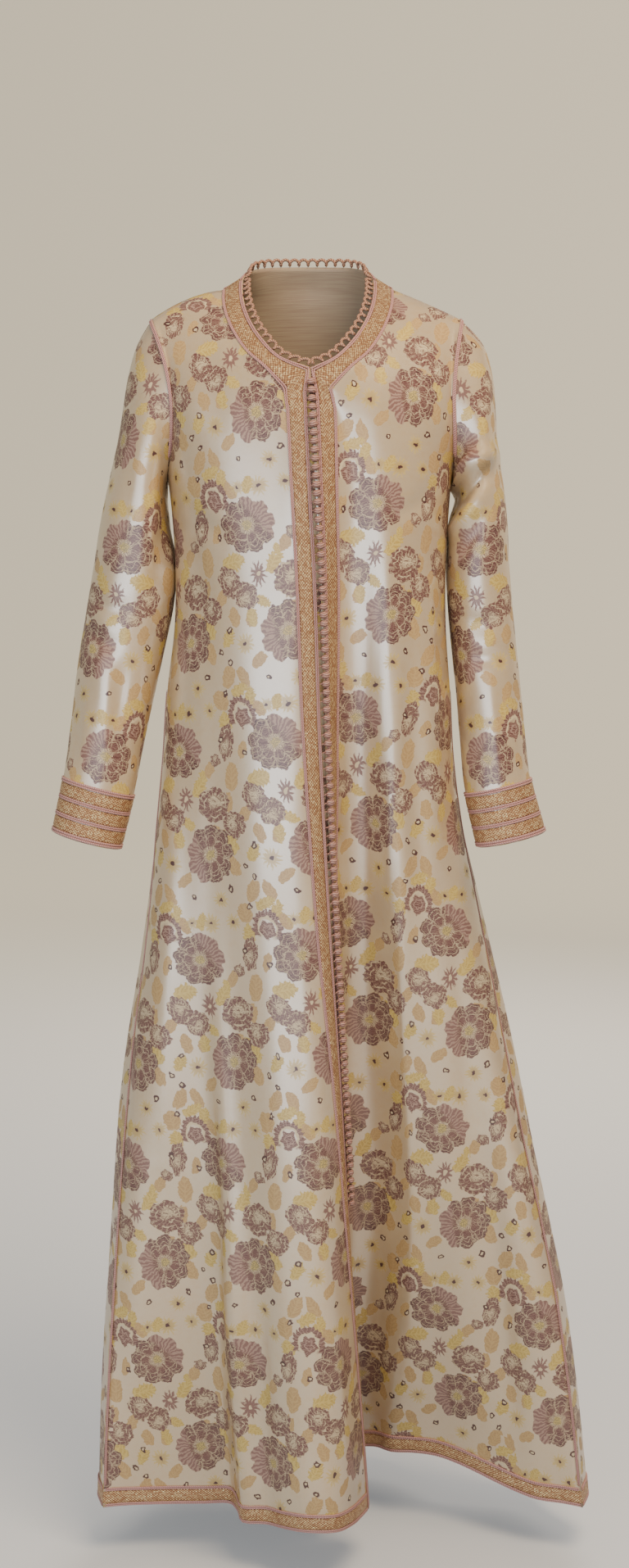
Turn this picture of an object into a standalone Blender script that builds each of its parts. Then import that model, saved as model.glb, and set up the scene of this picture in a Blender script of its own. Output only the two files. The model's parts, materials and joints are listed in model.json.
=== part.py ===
"""A long Moroccan kaftan of floral satin brocade, filled out as it is worn.

Metres, +Z up, front towards -Y.  The origin lies midway between the shoulder
tips, where the wearer's shoulders hold the garment.  "Right" and "left" are
the wearer's, so the right half lies at -X.
"""

import math
from collections import namedtuple

import bmesh
import bpy
import numpy as np

# ---------------------------------------------------------------- sizes
CLOTH = 0.0016          # satin brocade with its backing
SEAM = 0.0003           # between pieces, and between a panel and its trims
HEM_TRIM = 0.025        # height of the braid and cords along the hem
FRONT_TRIM = 0.0285     # from the closing to the far side of the front braid
NECK_TRIM = 0.0255      # from the neck edge to the far side of the neck braid
CUFF_TRIM = 0.066       # height of the trimmed cuff
BRAID_THICK = 0.0012
CORD_THICK = 0.0018
KNOT_RADIUS = 0.0041
KNOT_PITCH = 0.0095
STRANDS = 8             # the row of knot buttons is sewn on as eight strands
PICOT_WIRE = 0.0015     # half the thickness of the picot edging's loops
PICOT_HEIGHT = 0.0044
PICOT_PITCH = 0.0107
KNOT_WAIST = 0.0011     # half the thickness between two knots
SKIRT_LENGTH = 1.23     # along the cloth, from hem to underarm
HEM_HEIGHT = -1.4225

# how many cells each piece is divided into
SKIRT_ROWS = 16         # hem to underarm
ARMHOLE_ROWS = 8        # underarm to shoulder tip
SHOULDER_ROWS = 4       # shoulder tip to neck, on the back
V_ROW = 2               # rows from the underarm line up to the foot of the neck
FRONT_COLUMNS = 15
BACK_COLUMNS = 18
CAP_ROWS = 4            # sleeve head
ARM_ROWS = 9
SLEEVE_COLUMNS = 2 * ARMHOLE_ROWS
SIDE_CORD_ROWS = 14     # rows of the skirt that the side cords reach up to
PICOT_STEPS = 5         # straight steps in each loop of the picot edging
RING_STEPS = 240        # points that each line round the body is first worked out at
CURVE_STEPS = 160       # the same, for the neck's lines

# ---------------------------------------------------------------- body
# Each section of the body, from hem to underarm.  right and left are the
# side seams, seam_back how far behind the middle they lie, back the deepest
# place behind.
Section = namedtuple("Section", "height right left seam_back back square")
BODY = [
    Section(-1.435, -0.247, 0.331, 0.000, 0.262, 2.0),
    Section(-1.305, -0.242, 0.317, 0.000, 0.246, 2.0),
    Section(-1.140, -0.231, 0.292, 0.000, 0.219, 2.0),
    Section(-1.000, -0.220, 0.260, 0.000, 0.194, 2.1),
    Section(-0.850, -0.205, 0.229, 0.000, 0.168, 2.1),
    Section(-0.700, -0.185, 0.199, 0.000, 0.142, 2.2),
    Section(-0.620, -0.178, 0.182, 0.000, 0.130, 2.2),
    Section(-0.540, -0.170, 0.170, 0.000, 0.120, 2.2),
    Section(-0.410, -0.160, 0.162, 0.000, 0.104, 2.3),
    Section(-0.300, -0.148, 0.156, 0.002, 0.098, 2.3),
    Section(-0.200, -0.161, 0.165, 0.005, 0.110, 2.4),
]

# Where the two front edges run.  They are buttoned together down to the last
# knot and part below it; forward is negative.
Edge = namedtuple("Edge", "height right across_right left across_left")
CLOSING = [
    Edge(-1.435, 0.017, 0.0655, 0.035, 0.0300),
    Edge(-1.300, -0.008, 0.0590, 0.000, 0.0330),
    Edge(-1.170, -0.034, 0.0520, -0.031, 0.0420),
    Edge(-1.039, -0.055, 0.0455, -0.055, 0.0455),
    Edge(-0.857, -0.078, 0.0365, -0.078, 0.0365),
    Edge(-0.675, -0.097, 0.0267, -0.097, 0.0267),
    Edge(-0.479, -0.108, 0.0188, -0.108, 0.0188),
    Edge(-0.296, -0.118, 0.0133, -0.118, 0.0133),
    Edge(-0.200, -0.121, 0.0080, -0.121, 0.0080),
    Edge(-0.134, -0.113, 0.0048, -0.113, 0.0048),
    Edge(-0.080, -0.100, 0.0032, -0.100, 0.0032),
]
LAST_KNOT = -1.039
FIRST_KNOT = 0.014      # from the foot of the neck opening to the first knot

# Folds of the fronts.  starts and ends are measured from the front edge, push
# is how far the cloth is carried (back is positive), and the fold grows from
# top down to full.  lift raises the hem over it.
Fold = namedtuple("Fold", "panel starts ends near far across back lift top full grows")
FRONT_FOLDS = [
    Fold("right", 0.000, 0.153, 0.040, 0.013, 0.000, -0.055, 0.000, -0.70, -1.40, 1.3),
    Fold("right", 0.000, 0.135, 0.042, 0.070, 0.000, -0.056, 0.012, -0.20, -1.40, 1.1),
    Fold("left", 0.000, 0.080, 0.028, 0.045, 0.000, 0.046, 0.000, -0.05, -0.69, 1.0),
    Fold("left", 0.000, 0.060, 0.020, 0.035, -0.022, 0.000, 0.000, -0.55, -0.95, 1.0),
    Fold("left", 0.000, 0.270, 0.070, 0.170, 0.000, 0.060, 0.031, -0.45, -1.40, 1.0),
]

# Soft folds of the back, placed as shares of its width from the right seam.
BackFold = namedtuple("BackFold", "at width out top full")
BACK_FOLDS = [
    BackFold(0.060, 0.050, 0.034, -0.50, -0.90),
    BackFold(0.250, 0.060, 0.026, -0.42, -1.40),
    BackFold(0.390, 0.055, -0.030, -0.55, -1.40),
    BackFold(0.520, 0.070, 0.024, -0.40, -1.40),
    BackFold(0.680, 0.055, -0.034, -0.60, -1.40),
    BackFold(0.800, 0.060, 0.022, -0.45, -1.40),
    BackFold(0.940, 0.050, 0.038, -0.50, -0.85),
]

# ---------------------------------------------------------------- neck and armholes
# Half of the neck edge and of the outer side of its trim, from the foot of
# the neck opening round to the middle of the back.
Neck = namedtuple("Neck", "across forward up")
NECK_EDGE = [
    Neck(0.0030, -0.100, -0.0808),
    Neck(0.0215, -0.095, -0.0740),
    Neck(0.0390, -0.085, -0.0598),
    Neck(0.0540, -0.070, -0.0415),
    Neck(0.0650, -0.052, -0.0220),
    Neck(0.0725, -0.026, 0.0030),
    Neck(0.0740, 0.012, 0.0285),
]
NECK_TRIM_LINE = [
    Neck(0.0275, -0.108, -0.1050),
    Neck(0.0400, -0.104, -0.0890),
    Neck(0.0560, -0.095, -0.0750),
    Neck(0.0710, -0.083, -0.0600),
    Neck(0.0845, -0.064, -0.0380),
    Neck(0.0950, -0.036, -0.0110),
    Neck(0.0975, 0.008, 0.0160),
]
BACK_NECK = [
    Neck(0.0740, 0.012, 0.0285),
    Neck(0.0690, 0.037, 0.0400),
    Neck(0.0490, 0.062, 0.0480),
    Neck(0.0250, 0.072, 0.0500),
    Neck(0.0000, 0.075, 0.0505),
]
NECK_FALL = (0.0, 0.010, -0.0235)   # how the back leaves the middle of the neck edge
SHOULDER_BLADES = 0.009     # how much the back swells between underarm and neck
CHEST = 0.010               # how much the chest is flattened between armhole and front trim
ARMHOLE_MIDDLE = -0.1090
ARMHOLE_RISE = 0.0915
ARMHOLE_FRONT = 0.060
ARMHOLE_BACK = 0.076
Armhole = namedtuple("Armhole", "height right left")
ARMHOLE = [
    Armhole(-0.2005, -0.1610, 0.1650),
    Armhole(-0.1600, -0.1535, 0.1640),
    Armhole(-0.1120, -0.1515, 0.1615),
    Armhole(-0.0600, -0.1610, 0.1650),
    Armhole(-0.0175, -0.1773, 0.1727),
]
SHOULDER_RISE = {"right": 0.006, "left": 0.001}  # how much the shoulder seam arches
UNDERARM_LIFT = 0.070   # the middle of the underarm line lies this much higher
BACK_LIFT = 0.035

# ---------------------------------------------------------------- sleeves
# Each section of a sleeve below its head: outer and inner side, how far
# forward its middle lies, and how deep it is from front to back.
Arm = namedtuple("Arm", "outer_up outer inner_up inner forward depth")
SLEEVES = {
    "right": [
        Arm(-0.147, -0.2165, -0.224, -0.1610, 0.004, 0.130),
        Arm(-0.245, -0.2380, -0.258, -0.1570, -0.002, 0.118),
        Arm(-0.310, -0.248, -0.312, -0.1515, -0.004, 0.106),
        Arm(-0.380, -0.261, -0.382, -0.1640, -0.002, 0.098),
        Arm(-0.460, -0.273, -0.465, -0.1810, -0.008, 0.088),
        Arm(-0.537, -0.281, -0.555, -0.1985, -0.022, 0.074),
        Arm(-0.600, -0.292, -0.621, -0.2150, -0.036, 0.070),
    ],
    "left": [
        Arm(-0.150, 0.2170, -0.224, 0.1665, 0.004, 0.130),
        Arm(-0.245, 0.2275, -0.258, 0.1615, -0.002, 0.118),
        Arm(-0.310, 0.231, -0.312, 0.1595, -0.004, 0.106),
        Arm(-0.380, 0.239, -0.382, 0.1655, -0.002, 0.098),
        Arm(-0.460, 0.248, -0.465, 0.1740, -0.010, 0.088),
        Arm(-0.5365, 0.2545, -0.552, 0.1800, -0.026, 0.074),
        Arm(-0.600, 0.2705, -0.618, 0.1930, -0.042, 0.070),
    ],
}
HEAD_OUT = {"right": 0.085, "left": 0.155}      # how strongly the sleeve head swells
HEAD_DOWN = 0.065
HEAD_FALL = 0.030       # how strongly the head starts downwards, all round
HEAD_MEETS = (0.5, 1.4) # how strongly it runs into the arm, underneath and above

# Trims across a strip: (name, from, to) in metres from the hem or cuff edge.
HEM_LINES = [("cord_low", 0.0005, 0.0045), ("braid", 0.0049, 0.0198), ("cord_high", 0.0202, 0.0242)]
CUFF_LINES = [
    ("cord_1", 0.0005, 0.0060), ("braid_1", 0.0064, 0.0204),
    ("cord_2", 0.0208, 0.0252), ("braid_2", 0.0256, 0.0396),
    ("cord_3", 0.0400, 0.0444), ("braid_3", 0.0448, 0.0588),
    ("cord_4", 0.0592, 0.0645),
]
# Shares of the front strip taken by each trim, beside the buttons and round
# the neck.
FRONT_LINES = [
    ("cord_inner", 0.165, 0.305, 0.020, 0.175),
    ("braid", 0.318, 0.842, 0.190, 0.815),
    ("cord_outer", 0.855, 0.985, 0.830, 0.985),
]

ARMHOLE_CORD = (0.0026, 0.0070)
SIDE_CORD = (0.0006, 0.0036)
TWIST_SHARE = 1 / 3.5   # how far a flat trim stands off twisted cloth

SATIN, GOLD, PINK, KNOT = "satin_brocade", "gold_braid", "rose_cord", "knot_silk"
FINISHES = {
    SATIN: ((0.76, 0.66, 0.52, 1), 0.42, 0.0),
    GOLD: ((0.62, 0.42, 0.18, 1), 0.45, 0.6),
    PINK: ((0.50, 0.26, 0.24, 1), 0.60, 0.0),
    KNOT: ((0.52, 0.36, 0.26, 1), 0.55, 0.1),
}
SIGN = {"right": -1, "left": 1}


# ---------------------------------------------------------------- curves
def follow(knots, values, at):
    """Read a smooth curve through the knots; values may be numbers or points."""
    knots = np.asarray(knots, float)
    values = np.asarray(values, float)
    slopes = np.gradient(values, knots, axis=0)
    at = np.clip(np.asarray(at, float), knots[0], knots[-1])
    first = np.clip(np.searchsorted(knots, at, side="right") - 1, 0, len(knots) - 2)
    span = knots[first + 1] - knots[first]
    t = (at - knots[first]) / span
    if values.ndim > 1:
        t = t[..., None]
        span = span[..., None]
    ease = t * t * (3 - 2 * t)
    leave = t * (1 - t) ** 2 * span
    arrive = t * t * (t - 1) * span
    return (values[first] * (1 - ease) + values[first + 1] * ease
            + slopes[first] * leave + slopes[first + 1] * arrive)


def column(table, name, at, key="height"):
    return follow([getattr(row, key) for row in table],
                  [getattr(row, name) for row in table], at)


def evenly(points, places):
    """Points at the given distances along a polyline."""
    steps = np.linalg.norm(np.diff(points, axis=0), axis=1)
    run = np.concatenate([[0.0], np.cumsum(steps)])
    return np.stack([np.interp(places, run, points[:, k]) for k in range(3)], axis=1)


def length_of(points):
    return float(np.linalg.norm(np.diff(points, axis=0), axis=1).sum())


def unit(vectors):
    return vectors / np.maximum(np.linalg.norm(vectors, axis=-1, keepdims=True), 1e-12)


def curve_points(table, count, sign):
    """Evenly spaced points on the smooth curve through a Neck table."""
    rows = np.array([(sign * row.across, row.forward, row.up) for row in table])
    run = np.concatenate([[0.0], np.cumsum(np.linalg.norm(np.diff(rows, axis=0), axis=1))])
    fine = follow(run, rows, np.linspace(0, run[-1], CURVE_STEPS))
    return evenly(fine, np.linspace(0, length_of(fine), count))


# ---------------------------------------------------------------- body surface
def skirt_shares():
    """Heights of the rows as shares from hem to underarm; the first is the hem trim."""
    first = HEM_TRIM / SKIRT_LENGTH
    return np.concatenate([[0.0], np.linspace(first, 1.0, SKIRT_ROWS)])


def fold_shape(fold, distance):
    near = np.sin(np.clip((distance - fold.starts) / fold.near, 0, 1) * math.pi / 2)
    far = np.clip((fold.ends - distance) / fold.far, 0, 1)
    return near * far * far * (3 - 2 * far)


def growth(fold, height, power):
    return np.clip((fold.top - height) / (fold.top - fold.full), 0, 1) ** power


def front_ring(side, share):
    """Dense line round one front from its side seam to its front edge."""
    turn = np.linspace(0, math.pi / 2, RING_STEPS + 1)
    climb = np.sin(turn) ** 2
    top = BODY[-1].height + UNDERARM_LIFT * climb
    height = HEM_HEIGHT + (top - HEM_HEIGHT) * share
    power = 2.0 / column(BODY, "square", height)
    seam = column(BODY, side, height)
    seam_back = column(BODY, "seam_back", height)
    edge = column(CLOSING, "across_" + side, height)
    edge_back = column(CLOSING, side, height)
    across = edge + (seam - edge) * np.cos(turn).clip(0) ** power
    back = seam_back + (edge_back - seam_back) * np.sin(turn) ** power
    distance = np.abs(across - edge)
    width = distance[0]
    for fold in FRONT_FOLDS:
        if fold.panel != side:
            continue
        shape = fold_shape(fold, distance)
        seam_fade = np.clip((width - distance) / (0.25 * width), 0, 1)
        amount = shape * seam_fade * growth(fold, height, fold.grows)
        across = across + fold.across * amount
        back = back + fold.back * amount
        height = height + fold.lift * shape * (1 - share) ** 2
    return np.stack([across, back, height], axis=1)


def back_ring(share):
    """Dense line round the back from the right side seam to the left one."""
    turn = np.linspace(0, math.pi, RING_STEPS + 1)
    climb = np.sin(turn) ** 2
    top = BODY[-1].height + BACK_LIFT * climb
    height = HEM_HEIGHT + (top - HEM_HEIGHT) * share
    power = 2.0 / column(BODY, "square", height)
    right = column(BODY, "right", height)
    left = column(BODY, "left", height)
    seam_back = column(BODY, "seam_back", height)
    deep = column(BODY, "back", height)
    swing = -np.cos(turn)
    across = (right + left) / 2 + (left - right) / 2 * np.sign(swing) * np.abs(swing) ** power
    back = seam_back + (deep - seam_back) * np.sin(turn).clip(0) ** power
    place = turn / math.pi
    for fold in BACK_FOLDS:
        bump = np.exp(-((place - fold.at) / fold.width) ** 2) * np.sin(turn).clip(0) ** 0.5
        amount = fold.out * bump * growth(fold, height, 1.0)
        across = across + amount * swing
        back = back + amount * np.sin(turn)
    return np.stack([across, back, height], axis=1)


def armhole_line(side, forward):
    """The armhole from underarm to shoulder tip, on the front or on the back."""
    lean = np.linspace(-math.pi / 2, math.pi / 2, ARMHOLE_ROWS + 1)
    height = ARMHOLE_MIDDLE + ARMHOLE_RISE * np.sin(lean)
    across = column(ARMHOLE, side, height)
    seam_back = np.interp(lean, [lean[0], lean[-1]], [BODY[-1].seam_back, 0.0])
    reach = -ARMHOLE_FRONT if forward else ARMHOLE_BACK
    return np.stack([across, seam_back + reach * np.cos(lean), height], axis=1)


def shoulder_line(side, tip, neck, shares):
    """The shoulder seam from the tip towards the neck, slightly arched."""
    arch = SHOULDER_RISE[side] * 4 * shares * (1 - shares)
    line = tip + (neck - tip) * shares[:, None]
    line[:, 2] += arch
    return line


def patch(bottom, top, start, end, middle=None):
    """Surface between four lines: rows run from start to end, columns from bottom to top.

    middle, where given, is the line that the surface's middle column is brought to.
    """
    u = np.linspace(0, 1, len(bottom))[None, :, None]
    v = np.linspace(0, 1, len(start))[:, None, None]
    across = (1 - v) * bottom[None] + v * top[None]
    along = (1 - u) * start[:, None] + u * end[:, None]
    corners = ((1 - u) * (1 - v) * bottom[0] + u * (1 - v) * bottom[-1]
               + (1 - u) * v * top[0] + u * v * top[-1])
    surface = across + along - corners
    if middle is not None:
        centre = len(bottom) // 2
        surface += (middle - surface[:, centre])[:, None] * np.sin(math.pi * u)
    return surface


def relax(grid, first, last, margin, passes):
    """Even out the cloth where the skirt runs into the yoke."""
    for _ in range(passes):
        inner = grid[first:last, 1:-margin]
        mean = (grid[first - 1:last - 1, 1:-margin] + grid[first + 1:last + 1, 1:-margin]
                + grid[first:last, :-margin - 1]
                + grid[first:last, 2:grid.shape[1] - margin + 1]) / 4
        grid[first:last, 1:-margin] = inner * 0.5 + mean * 0.5


def front_grid(side):
    """Rows from hem to shoulder seam, columns from the side seam to the front edge."""
    rows = []
    for share in skirt_shares():
        line = front_ring(side, share)
        whole = length_of(line)
        places = np.append(np.linspace(0, whole - FRONT_TRIM, FRONT_COLUMNS), whole)
        rows.append(evenly(line, places))
    skirt = np.array(rows)
    sign = SIGN[side]
    neck_rows = ARMHOLE_ROWS - V_ROW
    neck = curve_points(NECK_EDGE, neck_rows + 1, sign)
    neck[0, 0] = column(CLOSING, "across_" + side, neck[0, 2])
    trim = curve_points(NECK_TRIM_LINE, neck_rows + 1, sign)
    shares = np.linspace(0, 1, V_ROW + 1)[:-1]
    lower = skirt[-1, -1] + (neck[0] - skirt[-1, -1]) * shares[:, None]
    lower_trim = skirt[-1, -2] + (trim[0] - skirt[-1, -2]) * shares[:, None]
    edge = np.concatenate([lower, neck])
    trim_line = np.concatenate([lower_trim, trim])
    start = armhole_line(side, True)
    seam = shoulder_line(side, start[-1], trim_line[-1], np.linspace(0, 1, FRONT_COLUMNS))
    yoke = patch(skirt[-1, :-1], seam, start, trim_line)
    rise = np.linspace(0, math.pi, ARMHOLE_ROWS + 1)[:, None]
    yoke[:, :, 1] += CHEST * np.sin(rise) * np.sin(np.linspace(0, math.pi, FRONT_COLUMNS))
    yoke = np.concatenate([yoke, edge[:, None]], axis=1)
    grid = np.concatenate([skirt, yoke[1:]])
    relax(grid, SKIRT_ROWS - 1, SKIRT_ROWS + ARMHOLE_ROWS - 1, margin=2, passes=4)
    return grid


def back_side(side):
    """Armhole and shoulder seam of the back, from underarm to neck."""
    armhole = armhole_line(side, False)
    trim = NECK_TRIM_LINE[-1]
    stop = np.array([SIGN[side] * trim.across, trim.forward, trim.up])
    neck = np.array([SIGN[side] * NECK_EDGE[-1].across, NECK_EDGE[-1].forward, NECK_EDGE[-1].up])
    seam = shoulder_line(side, armhole[-1], stop, np.linspace(0, 1, SHOULDER_ROWS)[1:])
    return np.concatenate([armhole, seam, neck[None]])


def back_grid():
    """Rows from hem to neck, columns from the right side to the left side."""
    rows = []
    for share in skirt_shares():
        line = back_ring(share)
        rows.append(evenly(line, np.linspace(0, length_of(line), BACK_COLUMNS + 1)))
    skirt = np.array(rows)
    half = BACK_COLUMNS // 2
    right = curve_points(BACK_NECK, half + 1, -1)
    left = curve_points(BACK_NECK, half + 1, 1)
    neck = np.concatenate([right, left[::-1][1:]])
    starts, ends = back_side("right"), back_side("left")
    share = np.abs(np.linspace(-1, 1, len(neck)))[:, None] ** 2
    outer = np.where(np.arange(len(neck))[:, None] < half, starts[-2] - neck[0], ends[-2] - neck[-1])
    below = outer * share + np.array(NECK_FALL) * (1 - share)
    tangent = unit(np.gradient(neck, axis=0))
    below -= tangent * (below * tangent).sum(-1, keepdims=True)
    trim_line = neck + NECK_TRIM * unit(below)
    trim_line[0], trim_line[-1] = starts[-2], ends[-2]
    rise = np.linspace(0, 1, len(starts) - 1)[:, None]
    spine = skirt[-1, half] + (trim_line[half] - skirt[-1, half]) * rise
    spine += SHOULDER_BLADES * np.array([0, 4, 0]) * rise * (1 - rise)
    yoke = patch(skirt[-1], trim_line, starts[:-1], ends[:-1], spine)
    grid = np.concatenate([skirt, yoke[1:], neck[None]])
    relax(grid, SKIRT_ROWS - 1, len(grid) - 2, margin=1, passes=6)
    return grid


# ---------------------------------------------------------------- sleeve surface
def sleeve_grid(side, armhole):
    """Rows from the armhole to the cuff; columns start at the underarm and pass the front."""
    sign = SIGN[side]
    sections = SLEEVES[side]
    turn = np.linspace(0, 2 * math.pi, SLEEVE_COLUMNS + 1)[:-1]
    run = [0.0]
    for upper, lower in zip(sections, sections[1:]):
        run.append(run[-1] + upper.outer_up - lower.outer_up)
    stations = np.append(np.linspace(0, run[-1] - CUFF_TRIM, ARM_ROWS), run[-1])
    values = follow(run, [list(row) for row in sections], stations)
    rings = []
    for outer_up, outer, inner_up, inner, forward, depth in values:
        middle = np.array([(outer + inner) / 2, forward, (outer_up + inner_up) / 2])
        inward = np.array([(inner - outer) / 2, 0.0, (inner_up - outer_up) / 2])
        rings.append(middle + np.outer(np.cos(turn), inward)
                     + np.outer(np.sin(turn), [0.0, -depth / 2, 0.0]))
    rings = np.array(rings)
    swell = np.sin(turn / 2)[:, None]
    leave = swell * [sign * HEAD_OUT[side], 0, 0] + (HEAD_FALL + HEAD_DOWN * swell ** 2) * [0, 0, -1.0]
    arrive = (rings[1] - rings[0]) * (HEAD_MEETS[0] + HEAD_MEETS[1] * swell)
    head = []
    for t in np.linspace(0, 1, CAP_ROWS + 1)[:-1]:
        ease = t * t * (3 - 2 * t)
        head.append(armhole * (1 - ease) + rings[0] * ease
                    + leave * t * (1 - t) ** 2 + arrive * t * t * (t - 1))
    return np.concatenate([head, rings])


# ---------------------------------------------------------------- seams
def pull_back(edge, own_next, mate_next, outward):
    """Shift that takes a seam edge back into its own piece, clear of its mate."""
    own = unit(own_next - edge)
    mate = unit(mate_next - edge)
    bend = math.pi - np.arccos(np.clip((own * mate).sum(-1), -1, 1))
    ridge = ((own + mate) * outward).sum(-1) < 0
    room = SEAM / 2 + np.where(ridge, CLOTH * np.tan(bend / 2), 0.0)
    return own * room[..., None]


def away(points, middle):
    return unit(points - np.asarray(middle))


def join_panels(right, left, back):
    """Leave the seam gap along the side seams, shoulder seams and closing."""
    rows = SKIRT_ROWS + ARMHOLE_ROWS + 1
    moves = []
    for front, at, beside in ((right, 0, 1), (left, -1, -2)):
        skirt = slice(0, SKIRT_ROWS + 1)
        outward = away(front[skirt, 0], (0.0, 0.0, 0.0)) * [1, 1, 0]
        moves.append((front, (skirt, 0), pull_back(
            front[skirt, 0], front[skirt, 1], back[skirt, beside], outward)))
        moves.append((back, (skirt, at), pull_back(
            back[skirt, at], back[skirt, beside], front[skirt, 1], outward)))
        seam = front[rows - 1]
        rise = np.zeros_like(seam) + [0, 0, 1.0]
        drop = np.zeros_like(seam) + [0, 0.7, -0.7]
        moves.append((front, (rows - 1, slice(None)), pull_back(
            seam, front[rows - 2], seam + drop, rise)))
        ridge = slice(rows - 1, back.shape[0])
        rise = np.zeros_like(back[ridge, at]) + [0, 0, 1.0]
        drop = np.zeros_like(rise) + [0, -0.7, -0.7]
        moves.append((back, (ridge, at), pull_back(
            back[ridge, at], back[ridge, beside], back[ridge, at] + drop, rise)))
    closing = slice(0, SKIRT_ROWS + V_ROW + 1)
    for front, mate in ((right, left), (left, right)):
        edge = front[closing, -1]
        outward = np.zeros_like(edge) + [0.5, -1.0, 0]
        moves.append((front, (closing, -1), SEAM * unit(front[closing, -2] - edge) + pull_back(
            edge, front[closing, -2], edge + mate[closing, -2] - mate[closing, -1], outward)))
    for grid, where, move in moves:
        grid[where] = grid[where] + move


def armhole_loop(front, back, at):
    """Shared armhole, from the underarm up the front and down the back."""
    rows = slice(SKIRT_ROWS, SKIRT_ROWS + ARMHOLE_ROWS + 1)
    return np.concatenate([front[rows, 0], back[rows, at][::-1][1:-1]])


def fit_sleeve(sleeve, front, back, at, beside):
    """Leave the seam gap round the armhole on the body's side and on the sleeve's."""
    rows = slice(SKIRT_ROWS, SKIRT_ROWS + ARMHOLE_ROWS + 1)
    loop = sleeve[0].copy()
    own = sleeve[1].copy()
    middle = sleeve[:2].mean(axis=(0, 1))
    body = np.concatenate([front[rows, 1], back[rows, beside][::-1][1:-1]])
    outward = away(loop, middle)
    sleeve[0] = loop + pull_back(loop, own, body, outward)
    count = ARMHOLE_ROWS + 1
    shift = pull_back(loop, body, own, outward)
    front[rows, 0] += shift[:count]
    back_shift = np.concatenate([shift[count - 1:], shift[:1]])[::-1]
    back[rows, at] += back_shift


# ---------------------------------------------------------------- making pieces
def make_finish(name):
    colour, roughness, metallic = FINISHES[name]
    material = bpy.data.materials.new(name)
    material.use_nodes = True
    shader = material.node_tree.nodes["Principled BSDF"]
    shader.inputs["Base Color"].default_value = colour
    shader.inputs["Roughness"].default_value = roughness
    shader.inputs["Metallic"].default_value = metallic
    return material


def cloth(name, grid, finish, thickness, outside, round_tube=False, flip=False):
    """A piece of cloth or braid: a grid of points with a wall on one side."""
    rows, columns = grid.shape[:2]
    shape = bmesh.new()
    points = [[shape.verts.new(point) for point in row] for row in grid]
    for i in range(rows - 1):
        for j in range(columns if round_tube else columns - 1):
            k = (j + 1) % columns
            corners = [points[i][j], points[i][k], points[i + 1][k], points[i + 1][j]]
            face = shape.faces.new(corners[::-1] if flip else corners)
            face.smooth = True
    mesh = bpy.data.meshes.new(name)
    shape.to_mesh(mesh)
    shape.free()
    piece = bpy.data.objects.new(name, mesh)
    mesh.materials.append(finishes[finish])
    garment.objects.link(piece)
    wall = piece.modifiers.new("wall", "SOLIDIFY")
    wall.thickness = thickness
    wall.offset = 1.0 if outside else -1.0
    return piece


def between(line_a, line_b, share):
    return line_a + (line_b - line_a) * np.asarray(share)[..., None]


def normals_of(grid, flip, round_tube=False):
    """Outward direction at every point of a grid."""
    if round_tube:
        across = np.roll(grid, -1, axis=1) - np.roll(grid, 1, axis=1)
    else:
        across = np.gradient(grid, axis=1)
    along = np.gradient(grid, axis=0)
    normal = unit(np.cross(across, along))
    return -normal if flip else normal


def lay(name, lines, shares, normal, flip, upright=False, closed=False):
    """Lay a trim on the cloth between two neighbouring lines of its panel.

    The lines come in the panel's own order, and shares says which part of the
    way from the first to the second the trim covers.  Where the cloth between
    them is twisted, the flat trim stands off a little more.
    """
    first, second = lines
    cross = second - first
    twist = np.abs((np.roll(cross, -1, axis=0) - cross) * normal).sum(axis=-1) * TWIST_SHARE
    if not closed:
        twist[-1] = 0.0
    room = SEAM + np.maximum(twist, np.roll(twist, 1))
    grid = np.array([between(first, second, share) + normal * room[:, None] for share in shares])
    if upright:
        grid = grid.transpose(1, 0, 2)
    is_braid = "braid" in name
    return cloth(name, grid, GOLD if is_braid else PINK, BRAID_THICK if is_braid else CORD_THICK,
                 True, closed, flip)


def front_trims(side, grid):
    flip = side == "left"
    normal = unit(normals_of(grid, flip)[:, -2:].mean(axis=1))
    beside_neck = np.arange(len(grid)) >= SKIRT_ROWS + V_ROW
    for label, near_a, near_b, neck_a, neck_b in FRONT_LINES:
        start = 1 - np.where(beside_neck, neck_b, near_b)
        stop = 1 - np.where(beside_neck, neck_a, near_a)
        lay(f"front_{label}_{side}", (grid[:, -2], grid[:, -1]), (start, stop), normal, flip,
            upright=True)


def neck_trims(back):
    normal = unit(normals_of(back, True)[-2:].mean(axis=0))
    for label, _, _, neck_a, neck_b in FRONT_LINES:
        lay(f"back_neck_{label}", (back[-2], back[-1]), (1 - neck_b, 1 - neck_a), normal, True)


def hem_trims(name, grid, flip, stop):
    """Braid and cords along the hem; stop is the column where the front's own braid starts."""
    normal = unit(normals_of(grid, flip)[:2, :stop].mean(axis=0))
    low, high = grid[0, :stop].copy(), grid[1, :stop].copy()
    if stop < grid.shape[1]:
        for line in (low, high):
            line[-1] += unit(line[-2] - line[-1]) * SEAM
    height = np.linalg.norm(high - low, axis=-1)
    for label, start, end in HEM_LINES:
        lay(f"hem_{label}_{name}", (low, high), (start / height, end / height), normal, flip)


def cuff_trims(side, grid, flip):
    normal = unit(normals_of(grid, flip, round_tube=True)[-2:].mean(axis=0))
    height = np.linalg.norm(grid[-2] - grid[-1], axis=-1)
    for label, start, end in CUFF_LINES:
        lay(f"cuff_{label}_{side}", (grid[-2], grid[-1]), (1 - end / height, 1 - start / height),
            normal, flip, closed=True)


def armhole_cord(side, grid, flip):
    """Twin cord that covers the armhole seam, open at the underarm."""
    reach = slice(2, SLEEVE_COLUMNS - 1)
    normal = unit(normals_of(grid, flip, round_tube=True)[:2, reach].mean(axis=0))
    first, second = grid[0, reach], grid[1, reach]
    width = np.linalg.norm(second - first, axis=-1)
    lay(f"armhole_cord_{side}", (first, second),
        (ARMHOLE_CORD[0] / width, ARMHOLE_CORD[1] / width), normal, flip)


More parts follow.
